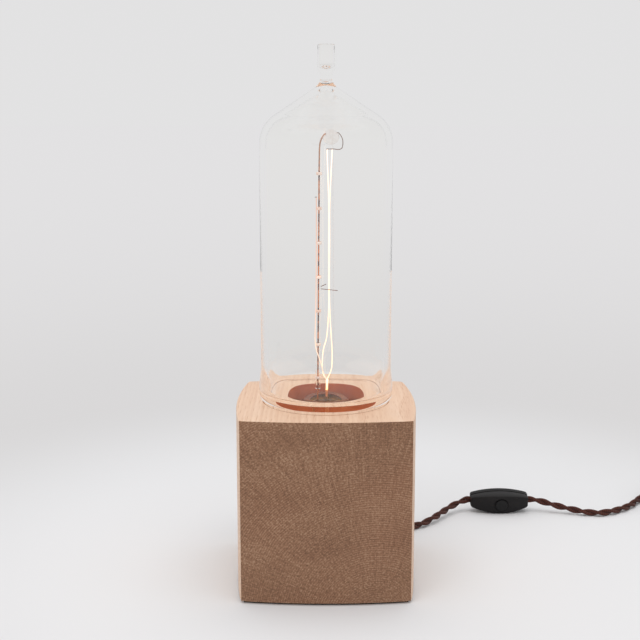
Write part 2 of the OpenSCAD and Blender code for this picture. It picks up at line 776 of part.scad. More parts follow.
// Cap of the bulb
module cap_shell() {
    crest = cap_r - thread_h;
    in_r = crest - cap_sheet;
    skirt_in = neck_r + 2 * fit;
    first_z = cap_foot_z + cut;
    turns = floor((cap_shell_h - cap_skirt_h - 2 * cut) / (thread_pitch / 2));
    color(brass) rotate_extrude() polygon(concat(
        [[cap_hole_r + fit, cap_foot_z], [crest - cut, cap_foot_z]],
        [for (i = [0 : turns]) [i % 2 == 0 ? crest : cap_r, first_z + i * thread_pitch / 2]],
        [[crest, cap_rim_z - cap_skirt_h - cap_sheet], [skirt_in + cap_sheet, cap_rim_z - cap_skirt_h],
         [skirt_in + cap_sheet, cap_rim_z], [skirt_in, cap_rim_z],
         [skirt_in, cap_rim_z - cap_skirt_h + cap_sheet], [in_r, cap_rim_z - cap_skirt_h - cap_sheet],
         [in_r, first_z], [in_r - cap_sheet, cap_foot_z + cap_sheet],
         [cap_hole_r + fit, cap_foot_z + cap_sheet]]
    ));
}
module cap_cement() {
    color(porcelain) translate([0, 0, neck_end_z - cement_h])
        tube_ring(cap_r - thread_h - cap_sheet - fit, cement_in, cement_h);
}
module cap_insulator() {
    color(black_plastic) difference() {
        union() {
            translate([0, 0, cap_foot_z - insulator_h])
                cylinder(h = insulator_h, r1 = contact_r + cut, r2 = cap_hole_r);
            translate([0, 0, cap_foot_z - fit]) cylinder(h = insulator_plug, r = cap_hole_r);
        }
        translate([0, 0, cap_foot_z - insulator_h - cut])
            cylinder(h = insulator_h + insulator_plug + 2 * cut, d = wire_d);
    }
}
module cap_contact() {
    color(steel) translate([0, 0, cap_tip_z])
        cylinder(h = contact_h, r1 = contact_r - contact_h, r2 = contact_r);
}
module cap_wires() {
    foot = rod_at(rod_foot_z);
    side_x = -(cap_r - thread_h - cap_sheet - cut);
    color(copper) {
        tube([foot, [-7.9, 0, rod_foot_z - 3], [-8.6, 0, neck_end_z], [-8.8, 0, neck_end_z - cement_h - 1],
              [-10.2, 0, neck_end_z - 10], [side_x, 0, neck_end_z - 13], [side_x, 0, cap_foot_z + 2]],
             0.4, 6, [0, 1, 0]);
        tube([lead_at(lead_foot_z), [0.4, 0, lead_foot_z - 4], [0, 0, neck_end_z - 2],
              [0, 0, cap_foot_z - insulator_h]], 0.4, 6, [0, 1, 0]);
    }
}

// Rod, its sleeve and what it carries
module support_rod() {
    color(copper) tube([rod_at(rod_foot_z), rod_at(rod_bend_z), rod_tip], rod_d / 2, 8, [0, 1, 0]);
}
module rod_sleeve() {
    color(clear_glass) difference() {
        bar(rod_at(top_z + glass_floor + fit), rod_at(sleeve_top_z), sleeve_d);
        bar(rod_at(top_z + glass_floor - cut), rod_at(sleeve_top_z + cut), sleeve_bore);
    }
}
module rod_collars() {
    color(porcelain) for (i = [0 : collar_count - 1]) {
        z = along(0, 0, collar_first + i * collar_pitch)[2] - collar_h / 2;
        difference() {
            bar(rod_at(z), rod_at(z + collar_h), collar_d);
            bar(rod_at(z - cut), rod_at(z + collar_h + cut), sleeve_d + 2 * fit);
        }
    }
}
module top_bead() {
    color(clear_glass) difference() {
        translate(bead_at) sphere(r = bead_r, $fn = 36);
        bar(rod_at(rod_bend_z), rod_tip, rod_d + 2 * fit);
        bar(hook_route[0], hook_route[1], hook_d + 4 * fit);
    }
}
module top_hook() {
    color(copper) tube(hook_route, hook_d / 2, 8, [0, 1, 0]);
}
module mid_hooks() {
    color(copper) {
        bar(along(-sleeve_d - 0.1, hook_y, 97.5), along(0.2, hook_y, 99.5), fine_d);
        bar(along(-sleeve_d - 0.1, hook_y, 95.5), along(hook_reach, hook_y, 94), fine_d);
        bar([-3.5 - sleeve_d, -1.05, outer_route[0][2] + fine_d],
            [outer_route[0][0] - 0.3, -1.85, outer_route[0][2] + fine_d], fine_d);
    }
}
module filament_left() {
    color(glowing) tube(left_route, strand_d / 2, 6, [0, 1, 0]);
}
module filament_right() {
    color(glowing) tube(right_route, strand_d / 2, 6, [0, 1, 0]);
}
module filament_outer() {
    color(glowing) tube(outer_route, strand_d / 2, 6, [0, 1, 0]);
}
module lower_lead() {
    color(glowing) bar(lead_at(lead_foot_z), lead_at(joint_at[2] - joint_r - fit), lead_d);
}
module lower_joint() {
    color(glowing) translate(joint_at) sphere(r = joint_r, $fn = 24);
}

// Cord
module cord_lead() {
    color(textile) tube(lead_route, cord_d / 2, 10);
}
module cord_tail() {
    color(textile) tube(tail_route, cord_d / 2, 10);
}
module cord_coil() {
    color(textile) tube(coil_route, cord_d / 2, 6);
}
module coil_tie() {
    radii = [for (k = [0 : floor(coil_turns - tie_turn)])
        coil_inner_r + coil_pitch * abs(tie_turn + k - coil_turns / 2)];
    near = min(radii) - cord_d / 2 - tie_gap;
    far = max(radii) + cord_d / 2 + tie_gap;
    high = coil_low_z + coil_rise + cord_d / 2 + tie_gap - fit;
    color(black_plastic) translate([coil_x, coil_y, 0]) rotate(tie_angle) difference() {
        translate([near - tie_t, -tie_w / 2, 0]) cube([far - near + 2 * tie_t, tie_w, high + tie_t]);
        translate([near, -tie_w / 2 - cut, tie_t]) cube([far - near, tie_w + 2 * cut, high - tie_t]);
    }
}

// Switch on the cord
module switch_solid(inset) {
    half = switch_len / 2 - inset;
    intersection() {
        translate([-half, inset, inset])
            cube([2 * half, switch_t - 2 * inset, switch_h - 2 * inset]);
        translate([0, switch_t + cut, switch_h - tall_r]) rotate([90, 0, 0])
            cylinder(h = switch_t + 2 * cut, r = tall_r - inset, $fn = 180);
        translate([0, switch_t + cut, tall_r]) rotate([90, 0, 0])
            cylinder(h = switch_t + 2 * cut, r = tall_r - inset, $fn = 180);
        translate([0, crown_r, -cut]) cylinder(h = switch_h + 2 * cut, r = crown_r - inset, $fn = 180);
    }
}
module switch_slab(y0, y1) {
    translate([-switch_len, y0, -cut]) cube([2 * switch_len, y1 - y0, switch_h + 2 * cut]);
}
module cord_notches() {
    for (side = [-1, 1])
        translate([side * (switch_len - switch_wall) / 2, seam_y, switch_mid_z]) rotate([0, 90, 0])
            cylinder(h = switch_wall + 2 * cut, r = cord_notch_r, center = true);
}
module switch_front() {
    color(black_plastic) difference() {
        on_switch() difference() {
            intersection() {
                switch_solid(0);
                switch_slab(-cut, seam_y);
            }
            difference() {
                switch_solid(switch_wall);
                for (side = [-1, 1])
                    translate([side * switch_screw_x, 0, switch_mid_z]) rotate([-90, 0, 0])
                        cylinder(h = switch_t, r = boss_r);
            }
            cord_notches();
        }
        on_button(-cut) cylinder(h = switch_wall + 2 * cut, d = button_d + 2 * run);
        on_button(-cut) cylinder(h = cut + ring_depth, d = button_d + 2 * run + 2 * ring_w);
        at_switch_screws() cylinder(h = switch_screw_len + cut, d = switch_screw_d + 2 * fit);
    }
}
module switch_rear() {
    color(black_plastic) difference() {
        on_switch() difference() {
            intersection() {
                switch_solid(0);
                switch_slab(seam_y, switch_t + cut);
            }
            difference() {
                switch_solid(switch_wall);
                for (side = [-1, 1])
                    translate([side * switch_screw_x, 0, switch_mid_z]) rotate([-90, 0, 0])
                        cylinder(h = switch_t, r = boss_r);
                translate([button_x, spring_seat_y, switch_mid_z]) rotate([-90, 0, 0])
                    cylinder(h = switch_t, r = spring_r + cut);
            }
            cord_notches();
        }
        at_switch_screws() {
            translate([0, 0, -cut]) cylinder(h = switch_screw_len, d = switch_screw_d + 2 * fit);
            cylinder(h = switch_sink_h, d1 = switch_sink_d + 2 * fit, d2 = switch_screw_d + 2 * fit);
            translate([0, 0, -cut]) cylinder(h = cut, d = switch_sink_d + 2 * fit);
        }
    }
}
module switch_screws() {
    color(steel) at_switch_screws() difference() {
        union() {
            cylinder(h = switch_screw_len, d = switch_screw_d);
            cylinder(h = switch_sink_h, d1 = switch_sink_d, d2 = switch_screw_d);
        }
        translate([-switch_sink_d / 2, -run, -cut]) cube([switch_sink_d, 2 * run, cut + 2 * run]);
    }
}
module switch_button() {
    color(black_plastic) difference() {
        union() {
            on_button(-button_proud) cylinder(h = button_ease, d1 = button_d - 2 * button_ease, d2 = button_d);
            on_button(button_ease - button_proud)
                cylinder(h = button_back + button_proud - button_ease, d = button_d);
            on_button(button_back - button_rim_t) cylinder(h = button_rim_t, d = button_d + 2 * button_rim);
            on_button(button_back) cylinder(h = stem_len, d = stem_d);
        }
        on_button(-button_proud - cut) cylinder(h = cut + dimple_depth, d = dimple_d);
    }
}
module button_spring() {
    first = button_back + spring_wire;
    last = spring_seat_y - spring_wire;
    steps = spring_turns * 12;
    color(steel) on_switch() tube([
        for (i = [0 : steps]) let (a = 360 * spring_turns * i / steps)
            [button_x + spring_r * cos(a), first + (last - first) * i / steps,
             switch_mid_z + spring_r * sin(a)]
    ], spring_wire / 2, 6, [0, 1, 0]);
}
module switch_contacts() {
    plate_y = switch_t - switch_wall - plate_t;
    color(brass) on_switch() for (side = [-1, 1]) {
        translate([button_x + side * plate_x - plate_w / 2, plate_y, switch_mid_z - plate_w / 2])
            cube([plate_w, plate_t, plate_w]);
        translate([button_x + side * (plate_x + (plate_w - plate_t) / 2) - plate_t / 2,
                   plate_y - plate_up, switch_mid_z - plate_w / 2])
            cube([plate_t, plate_up + plate_t, plate_w]);
    }
}
module switch_wires() {
    end_x = switch_len / 2 - fit;
    bend_x = end_x - wire_straight;
    tab_x = plate_x + plate_w / 2 + fit;
    color(copper) on_switch() {
        for (side = [-1, 1]) tube([
            [side * end_x, seam_y, switch_mid_z + core_x],
            [side * bend_x, seam_y, switch_mid_z + core_x],
            [side * (bend_x - 2.4), seam_y, switch_mid_z + 2.6],
            [side * (switch_screw_x + 3), seam_y, switch_mid_z + 3.9],
            [side * switch_screw_x, seam_y, switch_mid_z + 4.6],
            [side * (switch_screw_x - 3), seam_y, switch_mid_z + 3.9],
            [button_x + side * (tab_x + 2.7), plate_wire_y, switch_mid_z + 1.4],
            [button_x + side * (tab_x + 1.2), plate_wire_y, switch_mid_z],
            [button_x + side * tab_x, plate_wire_y, switch_mid_z]
        ], wire_d / 2 - 0.1, 6, [0, 1, 0]);
        tube([
            for (x = [-end_x, -bend_x, -bend_x + 2.4, -switch_screw_x - 3, -switch_screw_x, -12, 0,
                      12, switch_screw_x, switch_screw_x + 3, bend_x - 2.4, bend_x, end_x])
                let (u = max(0, (bend_x - abs(x)) / (bend_x - switch_screw_x)))
                [x, seam_y, switch_mid_z - (u < 1 ? core_x + 3 * u : 4.6 + 1.4 * min(1, u - 1))]
        ], wire_d / 2 - 0.1, 6, [0, 1, 0]);
    }
}

// Plug
module plug_body() {
    color(black_plastic) on_plug() difference() {
        intersection() {
            linear_extrude(height = plug_t) polygon([
                [0, -plug_neck / 2], [plug_waist_x, -plug_neck / 2 - 2], [plug_shoulder_x, -plug_w / 2],
                [plug_len - cut, -plug_w / 2], [plug_len, cut - plug_w / 2], [plug_len, plug_w / 2 - cut],
                [plug_len - cut, plug_w / 2], [plug_shoulder_x, plug_w / 2],
                [plug_waist_x, plug_neck / 2 + 2], [0, plug_neck / 2]
            ]);
            translate([0, plug_w, 0]) rotate([90, 0, 0]) linear_extrude(height = 2 * plug_w) polygon([
                [0, 1.5], [plug_waist_x, 0], [plug_len - cut, 0], [plug_len, cut], [plug_len, plug_t - cut],
                [plug_len - cut, plug_t], [plug_waist_x, plug_t], [0, plug_t - 1.5]
            ]);
        }
        for (side = [-1, 1])
            translate([plug_len - pin_root, side * pin_gap / 2, plug_t / 2]) rotate([0, 90, 0])
                cylinder(h = pin_root + cut, d = pin_d + 2 * fit);
    }
}
module plug_pins() {
    color(steel) on_plug() for (side = [-1, 1])
        translate([plug_len - pin_root, side * pin_gap / 2, plug_t / 2]) rotate([0, 90, 0]) {
            cylinder(h = pin_root + pin_len - cut, d = pin_d);
            translate([0, 0, pin_root + pin_len - cut]) cylinder(h = cut, d1 = pin_d, d2 = pin_d - 2 * cut);
        }
}

wood_block();
base_pad();
cavity_cover();
cover_screws();
cord_bush();
cord_inner();
cord_grip();
grip_bar();
grip_screws();
nipple();
nipple_washer();
nipple_nut();
holder_base();
holder_skirt();
holder_insert();
holder_sleeve();
centre_spring();
side_contact();
terminal_screws();
holder_wires();
glass_envelope();
cap_shell();
cap_cement();
cap_insulator();
cap_contact();
cap_wires();
support_rod();
rod_sleeve();
rod_collars();
top_bead();
top_hook();
mid_hooks();
filament_left();
filament_right();
filament_outer();
lower_lead();
lower_joint();
cord_lead();
cord_tail();
cord_coil();
coil_tie();
switch_front();
switch_rear();
switch_button();
button_spring();
switch_contacts();
switch_wires();
switch_screws();
plug_body();
plug_pins();
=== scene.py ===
"""Glass table lamp: an oak block, a tall clear filament bulb, a twisted cord and its switch.

Metres in the scene, millimetres in the sizes of the pieces. +Z is up and the front faces -Y.
"""

from __future__ import annotations

import logging
import math
from dataclasses import dataclass, field
from enum import Enum
from typing import Callable, Sequence

import bmesh
import bpy
from mathutils import Matrix, Vector


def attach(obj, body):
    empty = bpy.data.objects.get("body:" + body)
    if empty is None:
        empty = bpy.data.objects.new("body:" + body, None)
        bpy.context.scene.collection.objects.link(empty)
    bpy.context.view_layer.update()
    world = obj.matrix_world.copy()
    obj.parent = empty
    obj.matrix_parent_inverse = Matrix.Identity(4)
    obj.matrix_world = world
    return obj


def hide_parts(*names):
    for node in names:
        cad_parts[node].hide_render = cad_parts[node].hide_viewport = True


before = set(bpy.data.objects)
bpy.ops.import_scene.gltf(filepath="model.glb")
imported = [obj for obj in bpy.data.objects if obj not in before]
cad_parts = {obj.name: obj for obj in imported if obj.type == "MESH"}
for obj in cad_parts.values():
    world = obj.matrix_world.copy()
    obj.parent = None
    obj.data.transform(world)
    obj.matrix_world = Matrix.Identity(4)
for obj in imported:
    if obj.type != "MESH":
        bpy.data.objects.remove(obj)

MM = 0.001
FULL_TURN = 2 * math.pi
SHARP_EDGE = 35.0
BOUNCES = 32
# Heights in millimetres between which the lead starts to glow.
GLOW_STARTS, GLOW_FULL = 155.8, 156.8
log = logging.getLogger("lamp")

Colour = tuple[float, float, float, float]
Point = tuple[float, float]
Spot = tuple[float, float, float]
Place = Callable[[float], Vector]
Sockets = dict[str | int, object]


def paint(code: str) -> Colour:
    """Turn a screen colour, as rrggbb, into a linear one with an alpha of 1.

    Args:
        code: The colour as rrggbb.

    Returns:
        The linear colour.
    """
    parts = [int(code[i : i + 2], 16) / 255 for i in (0, 2, 4)]
    red, green, blue = [p / 12.92 if p <= 0.04045 else ((p + 0.055) / 1.055) ** 2.4 for p in parts]
    return (red, green, blue, 1.0)


def ease(t: float) -> float:
    """Run smoothly from 0 to 1 as t does."""
    t = min(1.0, max(0.0, t))
    return t * t * (3 - 2 * t)


# ---------------------------------------------------------------- shader graph


class Value:
    """A number that varies over a surface; Python's operators on it add Math nodes."""

    def __init__(self, graph: Graph, socket: bpy.types.NodeSocket) -> None:
        """Wrap a socket of a graph."""
        self.graph = graph
        self.socket = socket

    def __add__(self, other: Value | float) -> Value:
        """Add."""
        return self.graph.math("ADD", self, other)

    __radd__ = __add__

    def __sub__(self, other: Value | float) -> Value:
        """Subtract."""
        return self.graph.math("SUBTRACT", self, other)

    def __rsub__(self, other: Value | float) -> Value:
        """Subtract from a number."""
        return self.graph.math("SUBTRACT", other, self)

    def __mul__(self, other: Value | float) -> Value:
        """Multiply."""
        return self.graph.math("MULTIPLY", self, other)

    __rmul__ = __mul__

    def __truediv__(self, other: Value | float) -> Value:
        """Divide."""
        return self.graph.math("DIVIDE", self, other)

    def __pow__(self, other: Value | float) -> Value:
        """Raise to a power."""
        return self.graph.math("POWER", self, other)

    def fraction(self) -> Value:
        """Keep the part after the point."""
        return self.graph.math("FRACT", self)

    def size(self) -> Value:
        """Drop the sign."""
        return self.graph.math("ABSOLUTE", self)

    def between(self, low: float, high: float, start: float = 0.0, stop: float = 1.0) -> Value:
        """Pass smoothly from start to stop as the value goes from low to high.

        Args:
            low: Value at which the result is start.
            high: Value at which the result is stop.
            start: Result at low.
            stop: Result at high.

        Returns:
            The eased value.
        """
        node = self.graph.node(
            "ShaderNodeMapRange",
            {"interpolation_type": "SMOOTHSTEP"},
            {"Value": self, "From Min": low, "From Max": high, "To Min": start, "To Max": stop},
        )
        return Value(self.graph, node.outputs["Result"])


class Graph:
    """The node tree of a material or a world."""

    def __init__(self, owner: bpy.types.Material | bpy.types.World) -> None:
        """Empty the owner's tree.

        Args:
            owner: The material or the world.
        """
        owner.use_nodes = True
        self.owner = owner
        self.tree = owner.node_tree
        self.tree.nodes.clear()

    def node(
        self, kind: str, settings: dict[str, object] | None = None, sockets: Sockets | None = None
    ) -> bpy.types.Node:
        """Add a node.

        Args:
            kind: The node's type.
            settings: Its settings, with a ramp's stops under "stops".
            sockets: Values or links of its input sockets, by name or number, a colour also as rrggbb.

        Returns:
            The node.
        """
        node = self.tree.nodes.new(kind)
        for key, value in (settings or {}).items():
            if key == "stops":
                self._set_stops(node.color_ramp, value)
            else:
                setattr(node, key, value)
        for key, value in (sockets or {}).items():
            if isinstance(value, Value):
                value = value.socket
            if isinstance(value, bpy.types.NodeSocket):
                self.tree.links.new(value, node.inputs[key])
            else:
                node.inputs[key].default_value = paint(value) if isinstance(value, str) else value
        return node

    @staticmethod
    def _set_stops(ramp: bpy.types.ColorRamp, stops: Sequence[tuple[float, str]]) -> None:
        """Give a ramp its stops.

        Args:
            ramp: The ramp.
            stops: Place and rrggbb colour of each stop.
        """
        while len(ramp.elements) < len(stops):
            ramp.elements.new(1.0)
        for element, (place, code) in zip(ramp.elements, stops):
            element.position = place
            element.color = paint(code)

    def math(self, operation: str, *values: Value | float) -> Value:
        """Add a Math node on one or two values."""
        node = self.node("ShaderNodeMath", {"operation": operation}, dict(enumerate(values)))
        return Value(self, node.outputs[0])

    def coordinates(self, kind: str) -> bpy.types.NodeSocket:
        """Give Object or UV coordinates."""
        return self.node("ShaderNodeTexCoord").outputs[kind]

    def facing(self) -> Value:
        """Give how far the surface turns away."""
        return Value(self, self.node("ShaderNodeLayerWeight", None, {"Blend": 0.5}).outputs["Facing"])

    def axes(self, vector: bpy.types.NodeSocket) -> list[Value]:
        """Split a vector into its three numbers."""
        node = self.node("ShaderNodeSeparateXYZ", None, {"Vector": vector})
        return [Value(self, socket) for socket in node.outputs]

    def vector(self, x: Value | float, y: Value | float, z: Value | float) -> bpy.types.NodeSocket:
        """Join three numbers into a vector."""
        return self.node("ShaderNodeCombineXYZ", None, {"X": x, "Y": y, "Z": z}).outputs["Vector"]

    def noise(
        self, vector: bpy.types.NodeSocket, scale: Spot | float, detail: float = 2.0, rough: float = 0.5
    ) -> Value:
        """Add noise from 0 to 1.

        Args:
            vector: Coordinates of the pattern.
            scale: Waves per unit of the coordinates, for all axes or for each.
            detail: Number of finer layers.
            rough: Strength of the finer layers.

        Returns:
            The noise as a value.
        """
        scales = scale if isinstance(scale, tuple) else (scale,) * 3
        place = self.node("ShaderNodeMapping", None, {"Vector": vector, "Scale": scales}).outputs["Vector"]
        sockets: Sockets = {"Vector": place, "Scale": 1.0, "Detail": detail, "Roughness": rough}
        return Value(self, self.node("ShaderNodeTexNoise", {"noise_dimensions": "3D"}, sockets).outputs[0])

    def mix(self, amount: Value | float, first: object, second: object) -> bpy.types.NodeSocket:
        """Mix two colours by an amount."""
        settings = {"data_type": "RGBA", "clamp_factor": True}
        return self.node("ShaderNodeMix", settings, {0: amount, 6: first, 7: second}).outputs[2]

    def ramp(self, amount: Value, *stops: tuple[float, str]) -> bpy.types.NodeSocket:
        """Turn a value into a colour through stops."""
        return self.node("ShaderNodeValToRGB", {"stops": stops}, {"Fac": amount}).outputs["Color"]

    def bump(self, height: Value, depth: float) -> bpy.types.NodeSocket:
        """Raise the surface by a height, which counts in units of depth metres."""
        sockets: Sockets = {"Height": height, "Distance": depth, "Strength": 1.0}
        return self.node("ShaderNodeBump", None, sockets).outputs["Normal"]


# ---------------------------------------------------------------- finishes


@dataclass(frozen=True)
class Finish:
    """A procedural material; each kind says what its Principled surface is fed with."""

    name: str

    def sockets(self, graph: Graph, place: bpy.types.NodeSocket) -> Sockets:
        """Give the surface's sockets, drawn in the object's coordinates.

        Args:
            graph: The material's graph.
            place: The object's coordinates.

        Returns:
            The surface's sockets.
        """
        raise NotImplementedError

    def make(self) -> bpy.types.Material:
        """Make the material."""
        graph = Graph(bpy.data.materials.new(self.name))
        sockets = self.sockets(graph, graph.coordinates("Object"))
        shader = graph.node("ShaderNodeBsdfPrincipled", None, sockets)
        graph.node("ShaderNodeOutputMaterial", None, {"Surface": shader.outputs[0]})
        return graph.owner


class Cut(Enum):
    """The way a face of the block cuts the oak's grain."""

    END = "end"
    LONG = "long"


@dataclass(frozen=True)
class Oak(Finish):
    """Oiled oak whose grain runs along Y, seen on its end or along its length."""

    cut: Cut
    pith_x: float = 41.0
    pith_z: float = -10.0
    ring: float = 1.9

    def sockets(self, graph: Graph, place: bpy.types.NodeSocket) -> Sockets:
        """Lay the year rings round the pith and draw the cut on them.

        Args:
            graph: The material's graph.
            place: The object's coordinates.

        Returns:
            The surface's sockets.
        """
        x, _, z = graph.axes(place)
        lazy = graph.noise(place, (11, 2, 11))
        wavy = graph.noise(place, (90, 6, 90), 2.0, 0.6)
        dx = x - self.pith_x * MM + (lazy - 0.5) * 0.022
        dz = z - self.pith_z * MM + (lazy - 0.5) * 0.010
        distance = (dx * dx + dz * dz) ** 0.5 + (wavy - 0.5) * 0.0016
        rings = (distance / (self.ring * MM)).fraction()
        late = rings.between(0.2, 0.95)
        early = 1 - rings.between(0.0, 0.4)
        if self.cut is Cut.END:
            return self._end(graph, place, distance, graph.math("ARCTAN2", dz, dx), late, early)
        return self._long(graph, place, late, early)

    def _end(
        self, graph: Graph, place: bpy.types.NodeSocket, distance: Value, turn: Value, late: Value, early: Value
    ) -> Sockets:
        """Draw the darker end grain, with its rings, rays and pores.

        Args:
            graph: The material's graph.
            place: The object's coordinates.
            distance: Distance from the pith.
            turn: Angle round the pith.
            late: Share of late wood.
            early: Share of early wood.

        Returns:
            The surface's sockets.
        """
        rays = graph.noise(graph.vector(turn, distance, 0.0), (150, 30, 1), 2.0, 0.6)
        flecks = graph.noise(graph.vector(turn, distance, 3.0), (60, 11, 1), 3.0, 0.6)
        speck = graph.noise(place, (520, 1, 560), 2.0, 0.8)
        blotch = graph.noise(place, (16, 1, 30), 3.0, 0.55)
        drift = graph.noise(place, (7, 1, 11), 1.0)
        pores = graph.noise(place, (1400, 1, 1400), 1.0)
        shown = drift.between(0.35, 0.62, 0.25, 1.0)
        pits = pores.between(0.55, 0.68) * (early * 0.6 + 0.4)
        tone = blotch * 0.4 + rays * 0.36 + flecks * 0.28 + speck * 1.05 + (late - 0.5) * shown * 0.2
        colour = graph.ramp(tone - 0.545, (0.25, "6b4a35"), (0.5, "8d664b"), (0.75, "ae8b6f"))
        colour = graph.mix(pits * 0.5, colour, "543826")
        height = late * 0.25 + speck * 0.5 + rays * 0.4 - pits * 0.9
        return {
            "Base Color": graph.mix(drift.between(0.4, 0.75) * 0.35, colour, "936246"),
            "Roughness": pits.between(0.0, 1.0, 0.62, 0.85),
            "Normal": graph.bump(height, 0.00016),
        }

    def _long(self, graph: Graph, place: bpy.types.NodeSocket, late: Value, early: Value) -> Sockets:
        """Draw the pale long grain, with its streaks and open pores.

        Args:
            graph: The material's graph.
            place: The object's coordinates.
            late: Share of late wood.
            early: Share of early wood.

        Returns:
            The surface's sockets.
        """
        streak = graph.noise(place, (320, 8, 320), 3.0, 0.6)
        broad = graph.noise(place, (45, 3, 45))
        pores = graph.noise(place, (1300, 60, 1300), 1.0)
        pits = pores.between(0.57, 0.69) * (early * 0.6 + 0.4)
        tone = streak * 0.5 + late * 0.12 + broad * 0.38
        colour = graph.ramp(tone, (0.25, "d4ad91"), (0.5, "dfbea3"), (0.75, "e9cdb6"))
        return {
            "Base Color": graph.mix(pits * 0.55, colour, "b98a68"),
            "Roughness": pits.between(0.0, 1.0, 0.5, 0.75),
            "Normal": graph.bump(late * 0.2 + streak * 0.3 - pits * 0.8, 0.0001),
        }


@dataclass(frozen=True)
class Moulded(Finish):
    """Moulded plastic or rubber with a fine mould texture."""

    colour: str
    edge: str
    rough: float = 0.42
    grain: float = 900.0
    depth: float = 0.00002
    shine: float = 0.45

    def sockets(self, graph: Graph, place: bpy.types.NodeSocket) -> Sockets:
        """Draw the texture and a little wear.

        Args:
            graph: The material's graph.
            place: The object's coordinates.

        Returns:
            The surface's sockets.
        """
        wear = graph.noise(place, 60, 4.0, 0.6)
        return {
            "Base Color": graph.mix(wear.between(0.4, 0.75), self.colour, self.edge),
            "Roughness": (wear - 0.5) * 0.2 + self.rough,
            "Normal": graph.bump(graph.noise(place, self.grain), self.depth),
            "Specular IOR Level": self.shine,
        }


@dataclass(frozen=True)
class Metal(Finish):
    """Metal with a thin tarnish."""

    colour: str
    tarnish: str
    rough: float = 0.3
    amount: float = 0.5
    tone: float = 1.0

    def sockets(self, graph: Graph, place: bpy.types.NodeSocket) -> Sockets:
        """Draw the tarnish and the marks of the brush.

        Args:
            graph: The material's graph.
            place: The object's coordinates.

        Returns:
            The surface's sockets.
        """
        brush = graph.noise(place, (1600, 1600, 90))
        stain = graph.noise(place, 180, 4.0, 0.6).between(0.42, 0.7) * self.amount
        return {
            "Base Color": graph.mix(stain, self.colour, self.tarnish),
            "Metallic": self.tone,
            "Roughness": stain * 0.25 + brush * 0.08 + self.rough,
            "Normal": graph.bump(brush, 0.000006),
        }


@dataclass(frozen=True)
class ClearGlass(Finish):
    """Clear blown glass, whose shoulder is tinted darker where it turns away, as a painted reflection of darker
    things.
    """

    tint: str = "fffffe"
    ior: float = 1.47
    # The rim colour is a painted reflection, tinting the shoulder darker where it turns away.
    rim: str = "dcdcde"
    reflection_top_z: float = 371.0

    def sockets(self, graph: Graph, place: bpy.types.NodeSocket) -> Sockets:
        """Darken the rim of the shoulder with a painted reflection.

        Args:
            graph: The material's graph.
            place: The object's coordinates.

        Returns:
            The surface's sockets.
        """
        _, _, z = graph.axes(place)
        # Painted reflection: a darker tint where the shoulder turns away, up to the band's top.
        painted_reflection = graph.facing().between(0.72, 0.95) * z.between((self.reflection_top_z - 8.0) * MM, self.reflection_top_z * MM)
        return {
            "Base Color": graph.mix(painted_reflection, self.tint, self.rim),
            "Roughness": 0.0,
            "IOR": self.ior,
            "Transmission Weight": 1.0,
        }


@dataclass(frozen=True)
class Opal(Finish):
    """Glass that has been melted round a wire and gone a little milky."""

    def sockets(self, graph: Graph, place: bpy.types.NodeSocket) -> Sockets:
        """Cloud the glass.

        Args:
            graph: The material's graph.
            place: The object's coordinates.

        Returns:
            The surface's sockets.
        """
        return {
            "Base Color": graph.mix(graph.noise(place, 420).between(0.35, 0.65), "faf4f0", "fffcfa"),
            "Roughness": 0.12,
            "IOR": 1.06,
            "Transmission Weight": 1.0,
            "Coat Weight": 0.5,
        }


@dataclass(frozen=True)
class Glow(Finish):
    """Carbon or metal that glows, in a colour that changes with the height over the floor."""

    strength: float
    heights: tuple[tuple[float, str], ...]
    edge: str = "f5a068"

    def sockets(self, graph: Graph, place: bpy.types.NodeSocket) -> Sockets:
        """Colour the glow by its height, deeper where the strand turns away.

        Args:
            graph: The material's graph.
            place: The object's coordinates.

        Returns:
            The surface's sockets.
        """
        _, _, z = graph.axes(place)
        low, high = self.heights[0][0], self.heights[-1][0]
        beat = graph.noise(place, (40, 40, 60)).between(0.35, 0.65)
        stops = [((height - low) / (high - low), code) for height, code in self.heights]
        glow = graph.ramp(z.between(low * MM, high * MM), *stops)
        hot = z.between(GLOW_STARTS * MM, GLOW_FULL * MM)
        edge = (graph.facing().between(0.25, 0.9) * 0.8 + beat * 0.15) * hot
        return {
            "Base Color": "2a1a10",
            "Roughness": 0.6,
            "Emission Color": graph.mix(edge, glow, self.edge),
            "Emission Strength": self.strength,
        }


@dataclass(frozen=True)
class LeadWire(Finish):
    """Dark copper wire with short orange spots painted on as painted reflections of the glowing strands."""

    def sockets(self, graph: Graph, place: bpy.types.NodeSocket) -> Sockets:
        """Draw the clouded copper, the orange spots of painted reflection and the pale head.

        Args:
            graph: The material's graph.
            place: The object's coordinates.

        Returns:
            The surface's sockets.
        """
        _, _, z = graph.axes(place)
        cloud = graph.noise(place, (60, 60, 260), 3.0, 0.6)
        # Orange spots mixed into the colour: painted reflections of the glowing strands.
        painted_glints = graph.noise(place, (30, 30, 150), 1.0).between(0.44, 0.58)
        dark = graph.mix(cloud.between(0.35, 0.65), "451a0f", "86452b")
        with_glints = graph.mix(painted_glints * 0.8, dark, "e08a52")
        return {
            "Base Color": graph.mix(z.between(0.342, 0.36) * 0.7, with_glints, "c9a089"),
            "Metallic": 0.2,
            "Roughness": 0.5,
            "Normal": graph.bump(cloud, 0.00002),
        }


